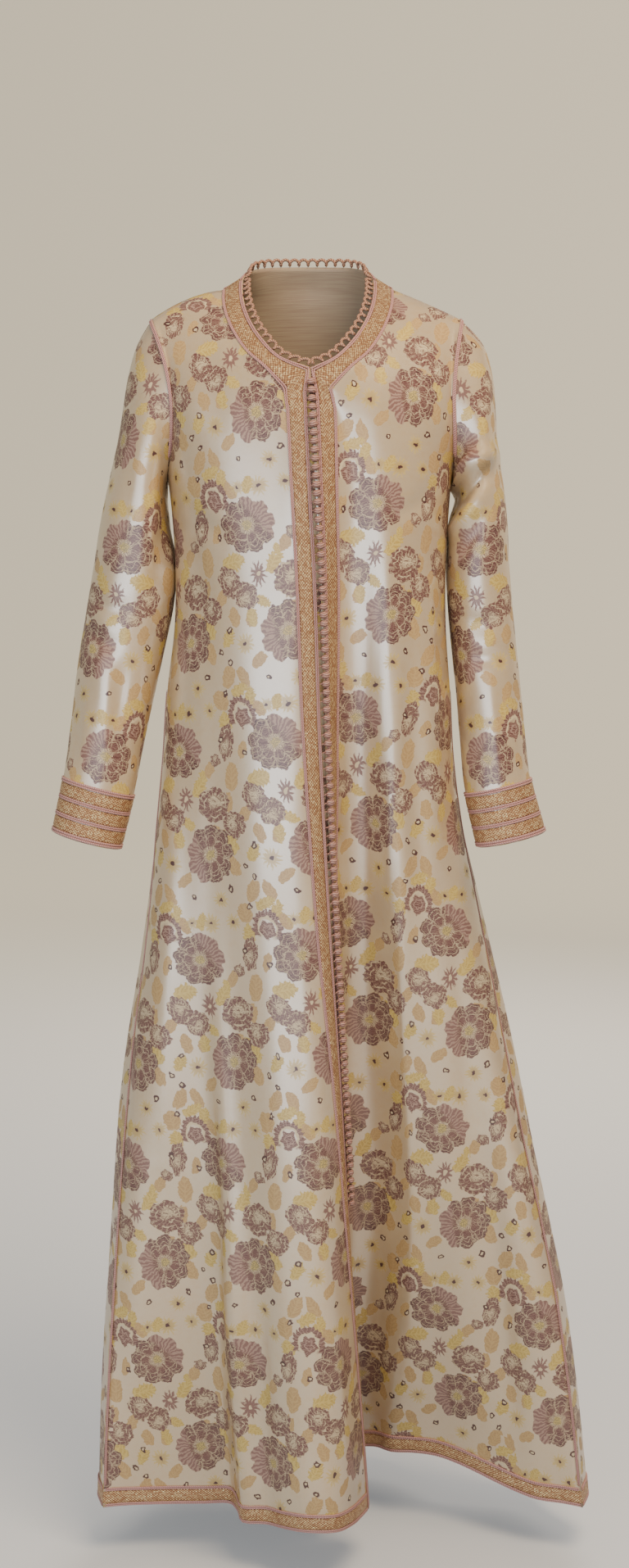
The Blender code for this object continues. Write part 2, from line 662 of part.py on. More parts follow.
def side_cord(side, grid, flip):
    """Cord laid beside the side seam, from the hem trim up to the waist."""
    reach = slice(1, SIDE_CORD_ROWS)
    normal = unit(normals_of(grid, flip)[reach, :2].mean(axis=1))
    first, second = grid[reach, 0], grid[reach, 1]
    width = np.linalg.norm(second - first, axis=-1)
    lay(f"side_cord_{side}", (first, second), (SIDE_CORD[0] / width, SIDE_CORD[1] / width),
        normal, flip, upright=True)


def round_cord(name, points, radii, finish):
    """A cord as a curve whose thickness may change from point to point."""
    curve = bpy.data.curves.new(name, "CURVE")
    curve.dimensions = "3D"
    curve.bevel_depth = 1.0
    curve.bevel_resolution = 0
    curve.use_fill_caps = True
    spline = curve.splines.new("POLY")
    spline.points.add(len(points) - 1)
    for knot, place, radius in zip(spline.points, points, radii):
        knot.co = (*place, 1.0)
        knot.radius = radius
    piece = bpy.data.objects.new(name, curve)
    curve.materials.append(finishes[finish])
    garment.objects.link(piece)
    return piece


def knot_buttons(right, left):
    """Silk knots down the closing, in strands that touch end to end."""
    rows = slice(0, SKIRT_ROWS + V_ROW + 1)
    line = (right[rows, -1] + left[rows, -1]) / 2
    facing = (normals_of(right, False)[rows, -1] + normals_of(left, True)[rows, -1]) / 2
    line = (line + unit(facing) * (KNOT_RADIUS + SEAM + BRAID_THICK))[::-1]
    line = evenly(line, np.arange(FIRST_KNOT, length_of(line), KNOT_PITCH / 2))
    line = line[line[:, 2] > LAST_KNOT]
    count = int(length_of(line) / KNOT_PITCH)
    per_strand = math.ceil(count / STRANDS)
    for strand in range(STRANDS):
        knots = range(strand * per_strand, min(count, (strand + 1) * per_strand))
        places = [knots[0] * KNOT_PITCH + SEAM]
        radii = [KNOT_WAIST]
        for index in knots:
            places += [(index + 0.5) * KNOT_PITCH, (index + 1) * KNOT_PITCH - SEAM]
            radii += [KNOT_RADIUS, KNOT_WAIST]
        round_cord(f"buttons_{strand + 1}", evenly(line, np.array(places)), radii, KNOT)


def picot(name, edge, beyond):
    """Looped edging that stands up from the neck edge into the opening."""
    total = length_of(edge)
    loops = int(total / PICOT_PITCH)
    steps = PICOT_STEPS * loops
    places = np.linspace(PICOT_WIRE * 4, total - PICOT_WIRE * 4, steps + 1)
    base = evenly(edge, places)
    reach = evenly(edge + beyond, places) - base
    wave = 0.5 - 0.5 * np.cos(np.linspace(0, 2 * math.pi * loops, steps + 1))
    rise = PICOT_WIRE * 1.5 + SEAM + (PICOT_HEIGHT * wave)
    return round_cord(name, base + unit(reach) * rise[:, None],
                      [PICOT_WIRE] * (steps + 1), PINK)


def neck_picots(right, left, back):
    rows = slice(SKIRT_ROWS + V_ROW, SKIRT_ROWS + ARMHOLE_ROWS + 1)
    for side, grid in (("right", right), ("left", left)):
        edge = grid[rows, -1]
        picot(f"picot_{side}", edge, unit(edge - grid[rows, -2]) * 0.01)
    picot("picot_back", back[-1], unit(back[-1] - back[-2]) * 0.01)


# ---------------------------------------------------------------- the garment
for old in list(bpy.data.objects):
    bpy.data.objects.remove(old)
garment = bpy.data.collections.new("moroccan_kaftan")
bpy.context.scene.collection.children.link(garment)
finishes = {name: make_finish(name) for name in FINISHES}

front_right = front_grid("right")
front_left = front_grid("left")
back_panel = back_grid()
sleeve_right = sleeve_grid("right", armhole_loop(front_right, back_panel, 0))
sleeve_left = sleeve_grid("left", armhole_loop(front_left, back_panel, -1))
join_panels(front_right, front_left, back_panel)
fit_sleeve(sleeve_right, front_right, back_panel, 0, 1)
fit_sleeve(sleeve_left, front_left, back_panel, -1, -2)

cloth("front_right", front_right, SATIN, CLOTH, False)
cloth("front_left", front_left, SATIN, CLOTH, False, flip=True)
cloth("back", back_panel, SATIN, CLOTH, False, flip=True)
cloth("sleeve_right", sleeve_right, SATIN, CLOTH, False, round_tube=True)
cloth("sleeve_left", sleeve_left, SATIN, CLOTH, False, round_tube=True, flip=True)

front_trims("right", front_right)
front_trims("left", front_left)
neck_trims(back_panel)
hem_trims("right", front_right, False, FRONT_COLUMNS)
hem_trims("left", front_left, True, FRONT_COLUMNS)
hem_trims("back", back_panel, True, BACK_COLUMNS + 1)
cuff_trims("right", sleeve_right, False)
cuff_trims("left", sleeve_left, True)
armhole_cord("right", sleeve_right, False)
armhole_cord("left", sleeve_left, True)
side_cord("right", front_right, False)
side_cord("left", front_left, True)
knot_buttons(front_right, front_left)
neck_picots(front_right, front_left, back_panel)
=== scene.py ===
"""The looks of a long Moroccan kaftan of flowered satin brocade, filled out as it is worn.

Metres, +Z up, front towards -Y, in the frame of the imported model.  "Right" and
"left" are the wearer's, so the right half lies at -X.  Each panel is worked out
from the same sizes as its solid, smoothed to a fine shell, creased and cut flat
for its pattern; the trims are laid on it.
"""

import json
import math
from collections import namedtuple

import bpy
import numpy as np
from mathutils import Matrix, Vector

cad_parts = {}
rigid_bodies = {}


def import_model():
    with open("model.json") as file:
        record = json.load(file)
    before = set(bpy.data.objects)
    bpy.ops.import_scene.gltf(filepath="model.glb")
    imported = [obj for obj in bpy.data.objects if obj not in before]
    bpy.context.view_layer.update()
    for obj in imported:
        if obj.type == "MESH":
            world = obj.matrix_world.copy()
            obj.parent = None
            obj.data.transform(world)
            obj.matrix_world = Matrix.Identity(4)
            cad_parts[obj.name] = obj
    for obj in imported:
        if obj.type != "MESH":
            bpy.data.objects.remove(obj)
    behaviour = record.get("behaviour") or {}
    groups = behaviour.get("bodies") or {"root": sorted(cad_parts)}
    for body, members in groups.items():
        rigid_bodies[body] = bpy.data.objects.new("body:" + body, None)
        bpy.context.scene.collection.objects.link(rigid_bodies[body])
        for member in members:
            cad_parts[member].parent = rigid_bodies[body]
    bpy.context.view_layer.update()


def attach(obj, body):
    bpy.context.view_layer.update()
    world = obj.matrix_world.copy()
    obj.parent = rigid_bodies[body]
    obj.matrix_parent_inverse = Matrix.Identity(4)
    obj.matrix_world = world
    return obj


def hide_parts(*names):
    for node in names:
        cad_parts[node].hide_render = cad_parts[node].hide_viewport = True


for old in list(bpy.data.objects):
    bpy.data.objects.remove(old)
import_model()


# ---------------------------------------------------------------- sizes
CLOTH = 0.0011          # brocade, right side to wrong side
HEM_TRIM = 0.025        # height of the braid and cords along the hem
FRONT_TRIM = 0.0285     # from the closing to the far side of the front braid
NECK_TRIM = 0.0255      # from the neck edge to the far side of the neck braid
CUFF_TRIM = 0.066       # height of the trimmed cuff
SKIRT_LENGTH = 1.23     # along the cloth, from hem to underarm
HEM_HEIGHT = -1.4225
CELL = 0.0052           # size of the cloth's mesh
MILLIMETRE = 0.001
ROUND_CUT = 0.01        # width that one turn round a cord or a knot has on its cut
FAR = 1e9               # farther than anything

# how many coarse cells each piece is worked out in
SKIRT_ROWS = 16         # hem to underarm
ARMHOLE_ROWS = 8        # underarm to shoulder tip
SHOULDER_ROWS = 4       # shoulder tip to neck, on the back
V_ROW = 2               # rows from the underarm line up to the foot of the neck
FRONT_COLUMNS = 15
BACK_COLUMNS = 18
CAP_ROWS = 4            # sleeve head
ARM_ROWS = 9
SLEEVE_COLUMNS = 2 * ARMHOLE_ROWS
SIDE_CORD_ROWS = 14     # rows of the skirt that the side cords reach up to
RING_STEPS = 240        # points that each line round the body is first worked out at
CURVE_STEPS = 160       # the same, for the neck's lines


# ---------------------------------------------------------------- body
# Each section of the body, from hem to underarm.  right and left are the
# side seams, seam_back how far behind the middle they lie, back the deepest
# place behind.
Section = namedtuple("Section", "height right left seam_back back square")
BODY = [
    Section(-1.435, -0.247, 0.331, 0.000, 0.262, 2.0),
    Section(-1.305, -0.242, 0.317, 0.000, 0.246, 2.0),
    Section(-1.140, -0.231, 0.292, 0.000, 0.219, 2.0),
    Section(-1.000, -0.220, 0.260, 0.000, 0.194, 2.1),
    Section(-0.850, -0.205, 0.229, 0.000, 0.168, 2.1),
    Section(-0.700, -0.185, 0.199, 0.000, 0.142, 2.2),
    Section(-0.620, -0.178, 0.182, 0.000, 0.130, 2.2),
    Section(-0.540, -0.170, 0.170, 0.000, 0.120, 2.2),
    Section(-0.410, -0.160, 0.162, 0.000, 0.104, 2.3),
    Section(-0.300, -0.148, 0.156, 0.002, 0.098, 2.3),
    Section(-0.200, -0.161, 0.165, 0.005, 0.110, 2.4),
]

# Where the two front edges run.  They are buttoned together down to the last
# knot and part below it; forward is negative.
Edge = namedtuple("Edge", "height right across_right left across_left")
CLOSING = [
    Edge(-1.435, 0.017, 0.0655, 0.035, 0.0300),
    Edge(-1.300, -0.008, 0.0590, 0.000, 0.0330),
    Edge(-1.170, -0.034, 0.0520, -0.031, 0.0420),
    Edge(-1.039, -0.055, 0.0455, -0.055, 0.0455),
    Edge(-0.857, -0.078, 0.0365, -0.078, 0.0365),
    Edge(-0.675, -0.097, 0.0267, -0.097, 0.0267),
    Edge(-0.479, -0.108, 0.0188, -0.108, 0.0188),
    Edge(-0.296, -0.118, 0.0133, -0.118, 0.0133),
    Edge(-0.200, -0.121, 0.0080, -0.121, 0.0080),
    Edge(-0.134, -0.113, 0.0048, -0.113, 0.0048),
    Edge(-0.080, -0.100, 0.0032, -0.100, 0.0032),
]
LAST_KNOT = -1.039
FIRST_KNOT = 0.014      # from the foot of the neck opening to the first knot

# Folds of the fronts.  starts and ends are measured from the front edge, push
# is how far the cloth is carried (back is positive), and the fold grows from
# top down to full.  lift raises the hem over it.
Fold = namedtuple("Fold", "panel starts ends near far across back lift top full grows")
FRONT_FOLDS = [
    Fold("right", 0.000, 0.153, 0.040, 0.013, 0.000, -0.055, 0.000, -0.70, -1.40, 1.3),
    Fold("right", 0.000, 0.135, 0.042, 0.070, 0.000, -0.056, 0.012, -0.20, -1.40, 1.1),
    Fold("left", 0.000, 0.080, 0.028, 0.045, 0.000, 0.046, 0.000, -0.05, -0.69, 1.0),
    Fold("left", 0.000, 0.060, 0.020, 0.035, -0.022, 0.000, 0.000, -0.55, -0.95, 1.0),
    Fold("left", 0.000, 0.270, 0.070, 0.170, 0.000, 0.060, 0.031, -0.45, -1.40, 1.0),
]

# Soft folds of the back, placed as shares of its width from the right seam.
BackFold = namedtuple("BackFold", "at width out top full")
BACK_FOLDS = [
    BackFold(0.060, 0.050, 0.034, -0.50, -0.90),
    BackFold(0.250, 0.060, 0.026, -0.42, -1.40),
    BackFold(0.390, 0.055, -0.030, -0.55, -1.40),
    BackFold(0.520, 0.070, 0.024, -0.40, -1.40),
    BackFold(0.680, 0.055, -0.034, -0.60, -1.40),
    BackFold(0.800, 0.060, 0.022, -0.45, -1.40),
    BackFold(0.940, 0.050, 0.038, -0.50, -0.85),
]


# ---------------------------------------------------------------- neck and armholes
# Half of the neck edge and of the outer side of its trim, from the foot of
# the neck opening round to the middle of the back.
Neck = namedtuple("Neck", "across forward up")
NECK_EDGE = [
    Neck(0.0030, -0.100, -0.0808),
    Neck(0.0215, -0.095, -0.0740),
    Neck(0.0390, -0.085, -0.0598),
    Neck(0.0540, -0.070, -0.0415),
    Neck(0.0650, -0.052, -0.0220),
    Neck(0.0725, -0.026, 0.0030),
    Neck(0.0740, 0.012, 0.0285),
]
NECK_TRIM_LINE = [
    Neck(0.0275, -0.108, -0.1050),
    Neck(0.0400, -0.104, -0.0890),
    Neck(0.0560, -0.095, -0.0750),
    Neck(0.0710, -0.083, -0.0600),
    Neck(0.0845, -0.064, -0.0380),
    Neck(0.0950, -0.036, -0.0110),
    Neck(0.0975, 0.008, 0.0160),
]
BACK_NECK = [
    Neck(0.0740, 0.012, 0.0285),
    Neck(0.0690, 0.037, 0.0400),
    Neck(0.0490, 0.062, 0.0480),
    Neck(0.0250, 0.072, 0.0500),
    Neck(0.0000, 0.075, 0.0505),
]
NECK_FALL = (0.0, 0.010, -0.0235)   # how the back leaves the middle of the neck edge
SHOULDER_BLADES = 0.009     # how much the back swells between underarm and neck
CHEST = 0.010               # how much the chest is flattened between armhole and front trim
ARMHOLE_MIDDLE = -0.1090
ARMHOLE_RISE = 0.0915
ARMHOLE_FRONT = 0.060
ARMHOLE_BACK = 0.076
Armhole = namedtuple("Armhole", "height right left")
ARMHOLE = [
    Armhole(-0.2005, -0.1610, 0.1650),
    Armhole(-0.1600, -0.1535, 0.1640),
    Armhole(-0.1120, -0.1515, 0.1615),
    Armhole(-0.0600, -0.1610, 0.1650),
    Armhole(-0.0175, -0.1773, 0.1727),
]
SHOULDER_RISE = {"right": 0.006, "left": 0.001}  # how much the shoulder seam arches
UNDERARM_LIFT = 0.070   # the middle of the underarm line lies this much higher
BACK_LIFT = 0.035


# ---------------------------------------------------------------- sleeves
# Each section of a sleeve below its head: outer and inner side, how far
# forward its middle lies, and how deep it is from front to back.
Arm = namedtuple("Arm", "outer_up outer inner_up inner forward depth")
SLEEVES = {
    "right": [
        Arm(-0.147, -0.2165, -0.224, -0.1610, 0.004, 0.130),
        Arm(-0.245, -0.2380, -0.258, -0.1570, -0.002, 0.118),
        Arm(-0.310, -0.248, -0.312, -0.1515, -0.004, 0.106),
        Arm(-0.380, -0.261, -0.382, -0.1640, -0.002, 0.098),
        Arm(-0.460, -0.273, -0.465, -0.1810, -0.008, 0.088),
        Arm(-0.537, -0.281, -0.555, -0.1985, -0.022, 0.074),
        Arm(-0.600, -0.292, -0.621, -0.2150, -0.036, 0.070),
    ],
    "left": [
        Arm(-0.150, 0.2170, -0.224, 0.1665, 0.004, 0.130),
        Arm(-0.245, 0.2275, -0.258, 0.1615, -0.002, 0.118),
        Arm(-0.310, 0.231, -0.312, 0.1595, -0.004, 0.106),
        Arm(-0.380, 0.239, -0.382, 0.1655, -0.002, 0.098),
        Arm(-0.460, 0.248, -0.465, 0.1740, -0.010, 0.088),
        Arm(-0.5365, 0.2545, -0.552, 0.1800, -0.026, 0.074),
        Arm(-0.600, 0.2705, -0.618, 0.1930, -0.042, 0.070),
    ],
}
HEAD_OUT = {"right": 0.085, "left": 0.155}      # how strongly the sleeve head swells
HEAD_DOWN = 0.065
HEAD_FALL = 0.030       # how strongly the head starts downwards, all round
HEAD_MEETS = (0.5, 1.4) # how strongly it runs into the arm, underneath and above

# Trims across a strip: (name, from, to) in metres from the hem or cuff edge.
HEM_LINES = [("cord_low", 0.0005, 0.0045), ("braid", 0.0049, 0.0198), ("cord_high", 0.0202, 0.0242)]
CUFF_LINES = [
    ("cord_1", 0.0005, 0.0060), ("braid_1", 0.0064, 0.0204),
    ("cord_2", 0.0208, 0.0252), ("braid_2", 0.0256, 0.0396),
    ("cord_3", 0.0400, 0.0444), ("braid_3", 0.0448, 0.0588),
    ("cord_4", 0.0592, 0.0645),
]
# Shares of the front strip taken by each trim, beside the buttons and round
# the neck.
FRONT_LINES = [
    ("cord_inner", 0.165, 0.305, 0.020, 0.175),
    ("braid", 0.318, 0.842, 0.190, 0.815),
    ("cord_outer", 0.855, 0.985, 0.830, 0.985),
]

SIGN = {"right": -1, "left": 1}


# ---------------------------------------------------------------- curves
def smooth(share):
    """0 to 1, flat at both ends."""
    return share * share * (3 - 2 * share)


def glide(t, start, end, leave, arrive):
    """From start to end as t goes from 0 to 1, with the slopes at which it leaves and arrives."""
    ease = smooth(t)
    return start * (1 - ease) + end * ease + leave * t * (1 - t) ** 2 + arrive * t * t * (t - 1)


def follow(knots, values, at):
    """Read a smooth curve through the knots; values may be numbers or points."""
    knots = np.asarray(knots, float)
    values = np.asarray(values, float)
    slopes = np.gradient(values, knots, axis=0)
    at = np.clip(np.asarray(at, float), knots[0], knots[-1])
    first = np.clip(np.searchsorted(knots, at, side="right") - 1, 0, len(knots) - 2)
    span = knots[first + 1] - knots[first]
    t = (at - knots[first]) / span
    if values.ndim > 1:
        t = t[..., None]
        span = span[..., None]
    return glide(t, values[first], values[first + 1], slopes[first] * span, slopes[first + 1] * span)


def column(table, name, at, key="height"):
    return follow([getattr(row, key) for row in table],
                  [getattr(row, name) for row in table], at)


def run_of(line):
    """Distance along a line at each of its points."""
    return np.concatenate([[0.0], np.cumsum(np.linalg.norm(np.diff(line[:, :3], axis=0), axis=1))])


def evenly(points, places):
    """Points, with whatever they carry after x, y and z, at the given distances along a line."""
    run = run_of(points)
    return np.stack([np.interp(places, run, values) for values in points.T], axis=1)


def length_of(points):
    return float(np.linalg.norm(np.diff(points, axis=0), axis=1).sum())


def unit(vectors):
    return vectors / np.maximum(np.linalg.norm(vectors, axis=-1, keepdims=True), 1e-12)


def curve_points(table, count, sign):
    """Evenly spaced points on the smooth curve through a Neck table."""
    rows = np.array([(sign * row.across, row.forward, row.up) for row in table])
    run = run_of(rows)
    fine = follow(run, rows, np.linspace(0, run[-1], CURVE_STEPS))
    return evenly(fine, np.linspace(0, length_of(fine), count))


# ---------------------------------------------------------------- body surface
def skirt_shares():
    """Heights of the rows as shares from hem to underarm; the first is the hem trim."""
    first = HEM_TRIM / SKIRT_LENGTH
    return np.concatenate([[0.0], np.linspace(first, 1.0, SKIRT_ROWS)])


def fold_shape(fold, distance):
    near = np.sin(np.clip((distance - fold.starts) / fold.near, 0, 1) * math.pi / 2)
    far = np.clip((fold.ends - distance) / fold.far, 0, 1)
    return near * smooth(far)


def growth(fold, height, power):
    return np.clip((fold.top - height) / (fold.top - fold.full), 0, 1) ** power


def front_ring(side, share):
    """Dense line round one front from its side seam to its front edge."""
    turn = np.linspace(0, math.pi / 2, RING_STEPS + 1)
    climb = np.sin(turn) ** 2
    top = BODY[-1].height + UNDERARM_LIFT * climb
    height = HEM_HEIGHT + (top - HEM_HEIGHT) * share
    power = 2.0 / column(BODY, "square", height)
    seam = column(BODY, side, height)
    seam_back = column(BODY, "seam_back", height)
    edge = column(CLOSING, "across_" + side, height)
    edge_back = column(CLOSING, side, height)
    across = edge + (seam - edge) * np.cos(turn).clip(0) ** power
    back = seam_back + (edge_back - seam_back) * np.sin(turn) ** power
    distance = np.abs(across - edge)
    width = distance[0]
    for fold in FRONT_FOLDS:
        if fold.panel != side:
            continue
        shape = fold_shape(fold, distance)
        seam_fade = np.clip((width - distance) / (0.25 * width), 0, 1)
        amount = shape * seam_fade * growth(fold, height, fold.grows)
        across = across + fold.across * amount
        back = back + fold.back * amount
        height = height + fold.lift * shape * (1 - share) ** 2
    return np.stack([across, back, height], axis=1)


def back_ring(share):
    """Dense line round the back from the right side seam to the left one."""
    turn = np.linspace(0, math.pi, RING_STEPS + 1)
    climb = np.sin(turn) ** 2
    top = BODY[-1].height + BACK_LIFT * climb
    height = HEM_HEIGHT + (top - HEM_HEIGHT) * share
    power = 2.0 / column(BODY, "square", height)
    right = column(BODY, "right", height)
    left = column(BODY, "left", height)
    seam_back = column(BODY, "seam_back", height)
    deep = column(BODY, "back", height)
    swing = -np.cos(turn)
    across = (right + left) / 2 + (left - right) / 2 * np.sign(swing) * np.abs(swing) ** power
    back = seam_back + (deep - seam_back) * np.sin(turn).clip(0) ** power
    place = turn / math.pi
    for fold in BACK_FOLDS:
        bump = np.exp(-((place - fold.at) / fold.width) ** 2) * np.sin(turn).clip(0) ** 0.5
        amount = fold.out * bump * growth(fold, height, 1.0)
        across = across + amount * swing
        back = back + amount * np.sin(turn)
    return np.stack([across, back, height], axis=1)


def armhole_line(side, forward):
    """The armhole from underarm to shoulder tip, on the front or on the back."""
    lean = np.linspace(-math.pi / 2, math.pi / 2, ARMHOLE_ROWS + 1)
    height = ARMHOLE_MIDDLE + ARMHOLE_RISE * np.sin(lean)
    across = column(ARMHOLE, side, height)
    seam_back = np.interp(lean, [lean[0], lean[-1]], [BODY[-1].seam_back, 0.0])
    reach = -ARMHOLE_FRONT if forward else ARMHOLE_BACK
    return np.stack([across, seam_back + reach * np.cos(lean), height], axis=1)


def shoulder_line(side, tip, neck, shares):
    """The shoulder seam from the tip towards the neck, slightly arched."""
    arch = SHOULDER_RISE[side] * 4 * shares * (1 - shares)
    line = tip + (neck - tip) * shares[:, None]
    line[:, 2] += arch
    return line


def patch(bottom, top, start, end, middle=None):
    """Surface between four lines: rows run from start to end, columns from bottom to top.

    middle, where given, is the line that the surface's middle column is brought to.
    """
    u = np.linspace(0, 1, len(bottom))[None, :, None]
    v = np.linspace(0, 1, len(start))[:, None, None]
    across = (1 - v) * bottom[None] + v * top[None]
    along = (1 - u) * start[:, None] + u * end[:, None]
    corners = ((1 - u) * (1 - v) * bottom[0] + u * (1 - v) * bottom[-1]
               + (1 - u) * v * top[0] + u * v * top[-1])
    surface = across + along - corners
    if middle is not None:
        centre = len(bottom) // 2
        surface += (middle - surface[:, centre])[:, None] * np.sin(math.pi * u)
    return surface


def relax(grid, first, last, margin, passes):
    """Even out the cloth where the skirt runs into the yoke."""
    for _ in range(passes):
        inner = grid[first:last, 1:-margin]
        mean = (grid[first - 1:last - 1, 1:-margin] + grid[first + 1:last + 1, 1:-margin]
                + grid[first:last, :-margin - 1]
                + grid[first:last, 2:grid.shape[1] - margin + 1]) / 4
        grid[first:last, 1:-margin] = inner * 0.5 + mean * 0.5


def front_grid(side):
    """Rows from hem to shoulder seam, columns from the side seam to the front edge."""
    rows = []
    for share in skirt_shares():
        line = front_ring(side, share)
        whole = length_of(line)
        places = np.append(np.linspace(0, whole - FRONT_TRIM, FRONT_COLUMNS), whole)
        rows.append(evenly(line, places))
    skirt = np.array(rows)
    sign = SIGN[side]
    neck_rows = ARMHOLE_ROWS - V_ROW
    neck = curve_points(NECK_EDGE, neck_rows + 1, sign)
    neck[0, 0] = column(CLOSING, "across_" + side, neck[0, 2])
    trim = curve_points(NECK_TRIM_LINE, neck_rows + 1, sign)
    shares = np.linspace(0, 1, V_ROW + 1)[:-1]
    lower = skirt[-1, -1] + (neck[0] - skirt[-1, -1]) * shares[:, None]
    lower_trim = skirt[-1, -2] + (trim[0] - skirt[-1, -2]) * shares[:, None]
    edge = np.concatenate([lower, neck])
    trim_line = np.concatenate([lower_trim, trim])
    start = armhole_line(side, True)
    seam = shoulder_line(side, start[-1], trim_line[-1], np.linspace(0, 1, FRONT_COLUMNS))
    yoke = patch(skirt[-1, :-1], seam, start, trim_line)
    rise = np.linspace(0, math.pi, ARMHOLE_ROWS + 1)[:, None]
    yoke[:, :, 1] += CHEST * np.sin(rise) * np.sin(np.linspace(0, math.pi, FRONT_COLUMNS))
    yoke = np.concatenate([yoke, edge[:, None]], axis=1)
    grid = np.concatenate([skirt, yoke[1:]])
    relax(grid, SKIRT_ROWS - 1, SKIRT_ROWS + ARMHOLE_ROWS - 1, margin=2, passes=4)
    return grid


def back_side(side):
    """Armhole and shoulder seam of the back, from underarm to neck."""
    armhole = armhole_line(side, False)
    trim = NECK_TRIM_LINE[-1]
    stop = np.array([SIGN[side] * trim.across, trim.forward, trim.up])
    neck = np.array([SIGN[side] * NECK_EDGE[-1].across, NECK_EDGE[-1].forward, NECK_EDGE[-1].up])
    seam = shoulder_line(side, armhole[-1], stop, np.linspace(0, 1, SHOULDER_ROWS)[1:])
    return np.concatenate([armhole, seam, neck[None]])


def back_grid():
    """Rows from hem to neck, columns from the right side to the left side."""
    rows = []
    for share in skirt_shares():
        line = back_ring(share)
        rows.append(evenly(line, np.linspace(0, length_of(line), BACK_COLUMNS + 1)))
    skirt = np.array(rows)
    half = BACK_COLUMNS // 2
    right = curve_points(BACK_NECK, half + 1, -1)
    left = curve_points(BACK_NECK, half + 1, 1)
    neck = np.concatenate([right, left[::-1][1:]])
    starts, ends = back_side("right"), back_side("left")
    share = np.abs(np.linspace(-1, 1, len(neck)))[:, None] ** 2
    outer = np.where(np.arange(len(neck))[:, None] < half, starts[-2] - neck[0], ends[-2] - neck[-1])
    below = outer * share + np.array(NECK_FALL) * (1 - share)
    tangent = unit(np.gradient(neck, axis=0))
    below -= tangent * (below * tangent).sum(-1, keepdims=True)
    trim_line = neck + NECK_TRIM * unit(below)
    trim_line[0], trim_line[-1] = starts[-2], ends[-2]
    rise = np.linspace(0, 1, len(starts) - 1)[:, None]
    spine = skirt[-1, half] + (trim_line[half] - skirt[-1, half]) * rise
    spine += SHOULDER_BLADES * np.array([0, 4, 0]) * rise * (1 - rise)
    yoke = patch(skirt[-1], trim_line, starts[:-1], ends[:-1], spine)
    grid = np.concatenate([skirt, yoke[1:], neck[None]])
    relax(grid, SKIRT_ROWS - 1, len(grid) - 2, margin=1, passes=6)
    return grid


# ---------------------------------------------------------------- sleeve surface
def sleeve_grid(side, armhole):
    """Rows from the armhole to the cuff; columns start at the underarm and pass the front."""
    sign = SIGN[side]
    sections = SLEEVES[side]
    turn = np.linspace(0, 2 * math.pi, SLEEVE_COLUMNS + 1)[:-1]
    run = [0.0]
    for upper, lower in zip(sections, sections[1:]):
        run.append(run[-1] + upper.outer_up - lower.outer_up)
    stations = np.append(np.linspace(0, run[-1] - CUFF_TRIM, ARM_ROWS), run[-1])
    values = follow(run, [list(row) for row in sections], stations)
    rings = []
    for outer_up, outer, inner_up, inner, forward, depth in values:
        middle = np.array([(outer + inner) / 2, forward, (outer_up + inner_up) / 2])
        inward = np.array([(inner - outer) / 2, 0.0, (inner_up - outer_up) / 2])
        rings.append(middle + np.outer(np.cos(turn), inward)
                     + np.outer(np.sin(turn), [0.0, -depth / 2, 0.0]))
    rings = np.array(rings)
    swell = np.sin(turn / 2)[:, None]
    leave = swell * [sign * HEAD_OUT[side], 0, 0] + (HEAD_FALL + HEAD_DOWN * swell ** 2) * [0, 0, -1.0]
    arrive = (rings[1] - rings[0]) * (HEAD_MEETS[0] + HEAD_MEETS[1] * swell)
    head = [glide(t, armhole, rings[0], leave, arrive) for t in np.linspace(0, 1, CAP_ROWS + 1)[:-1]]
    return np.concatenate([head, rings])


# ---------------------------------------------------------------- finishes
class Wire:
    """A socket that Python expressions can reckon with."""

    def __init__(self, dye, socket):
        self.dye, self.socket = dye, socket

    def __add__(self, other):
        return self.dye.maths("ADD", self, other)

    def __sub__(self, other):
        return self.dye.maths("SUBTRACT", self, other)

    def __rsub__(self, other):
        return self.dye.maths("SUBTRACT", other, self)

    def __mul__(self, other):
        return self.dye.maths("MULTIPLY", self, other)

    __radd__ = __add__
    __rmul__ = __mul__


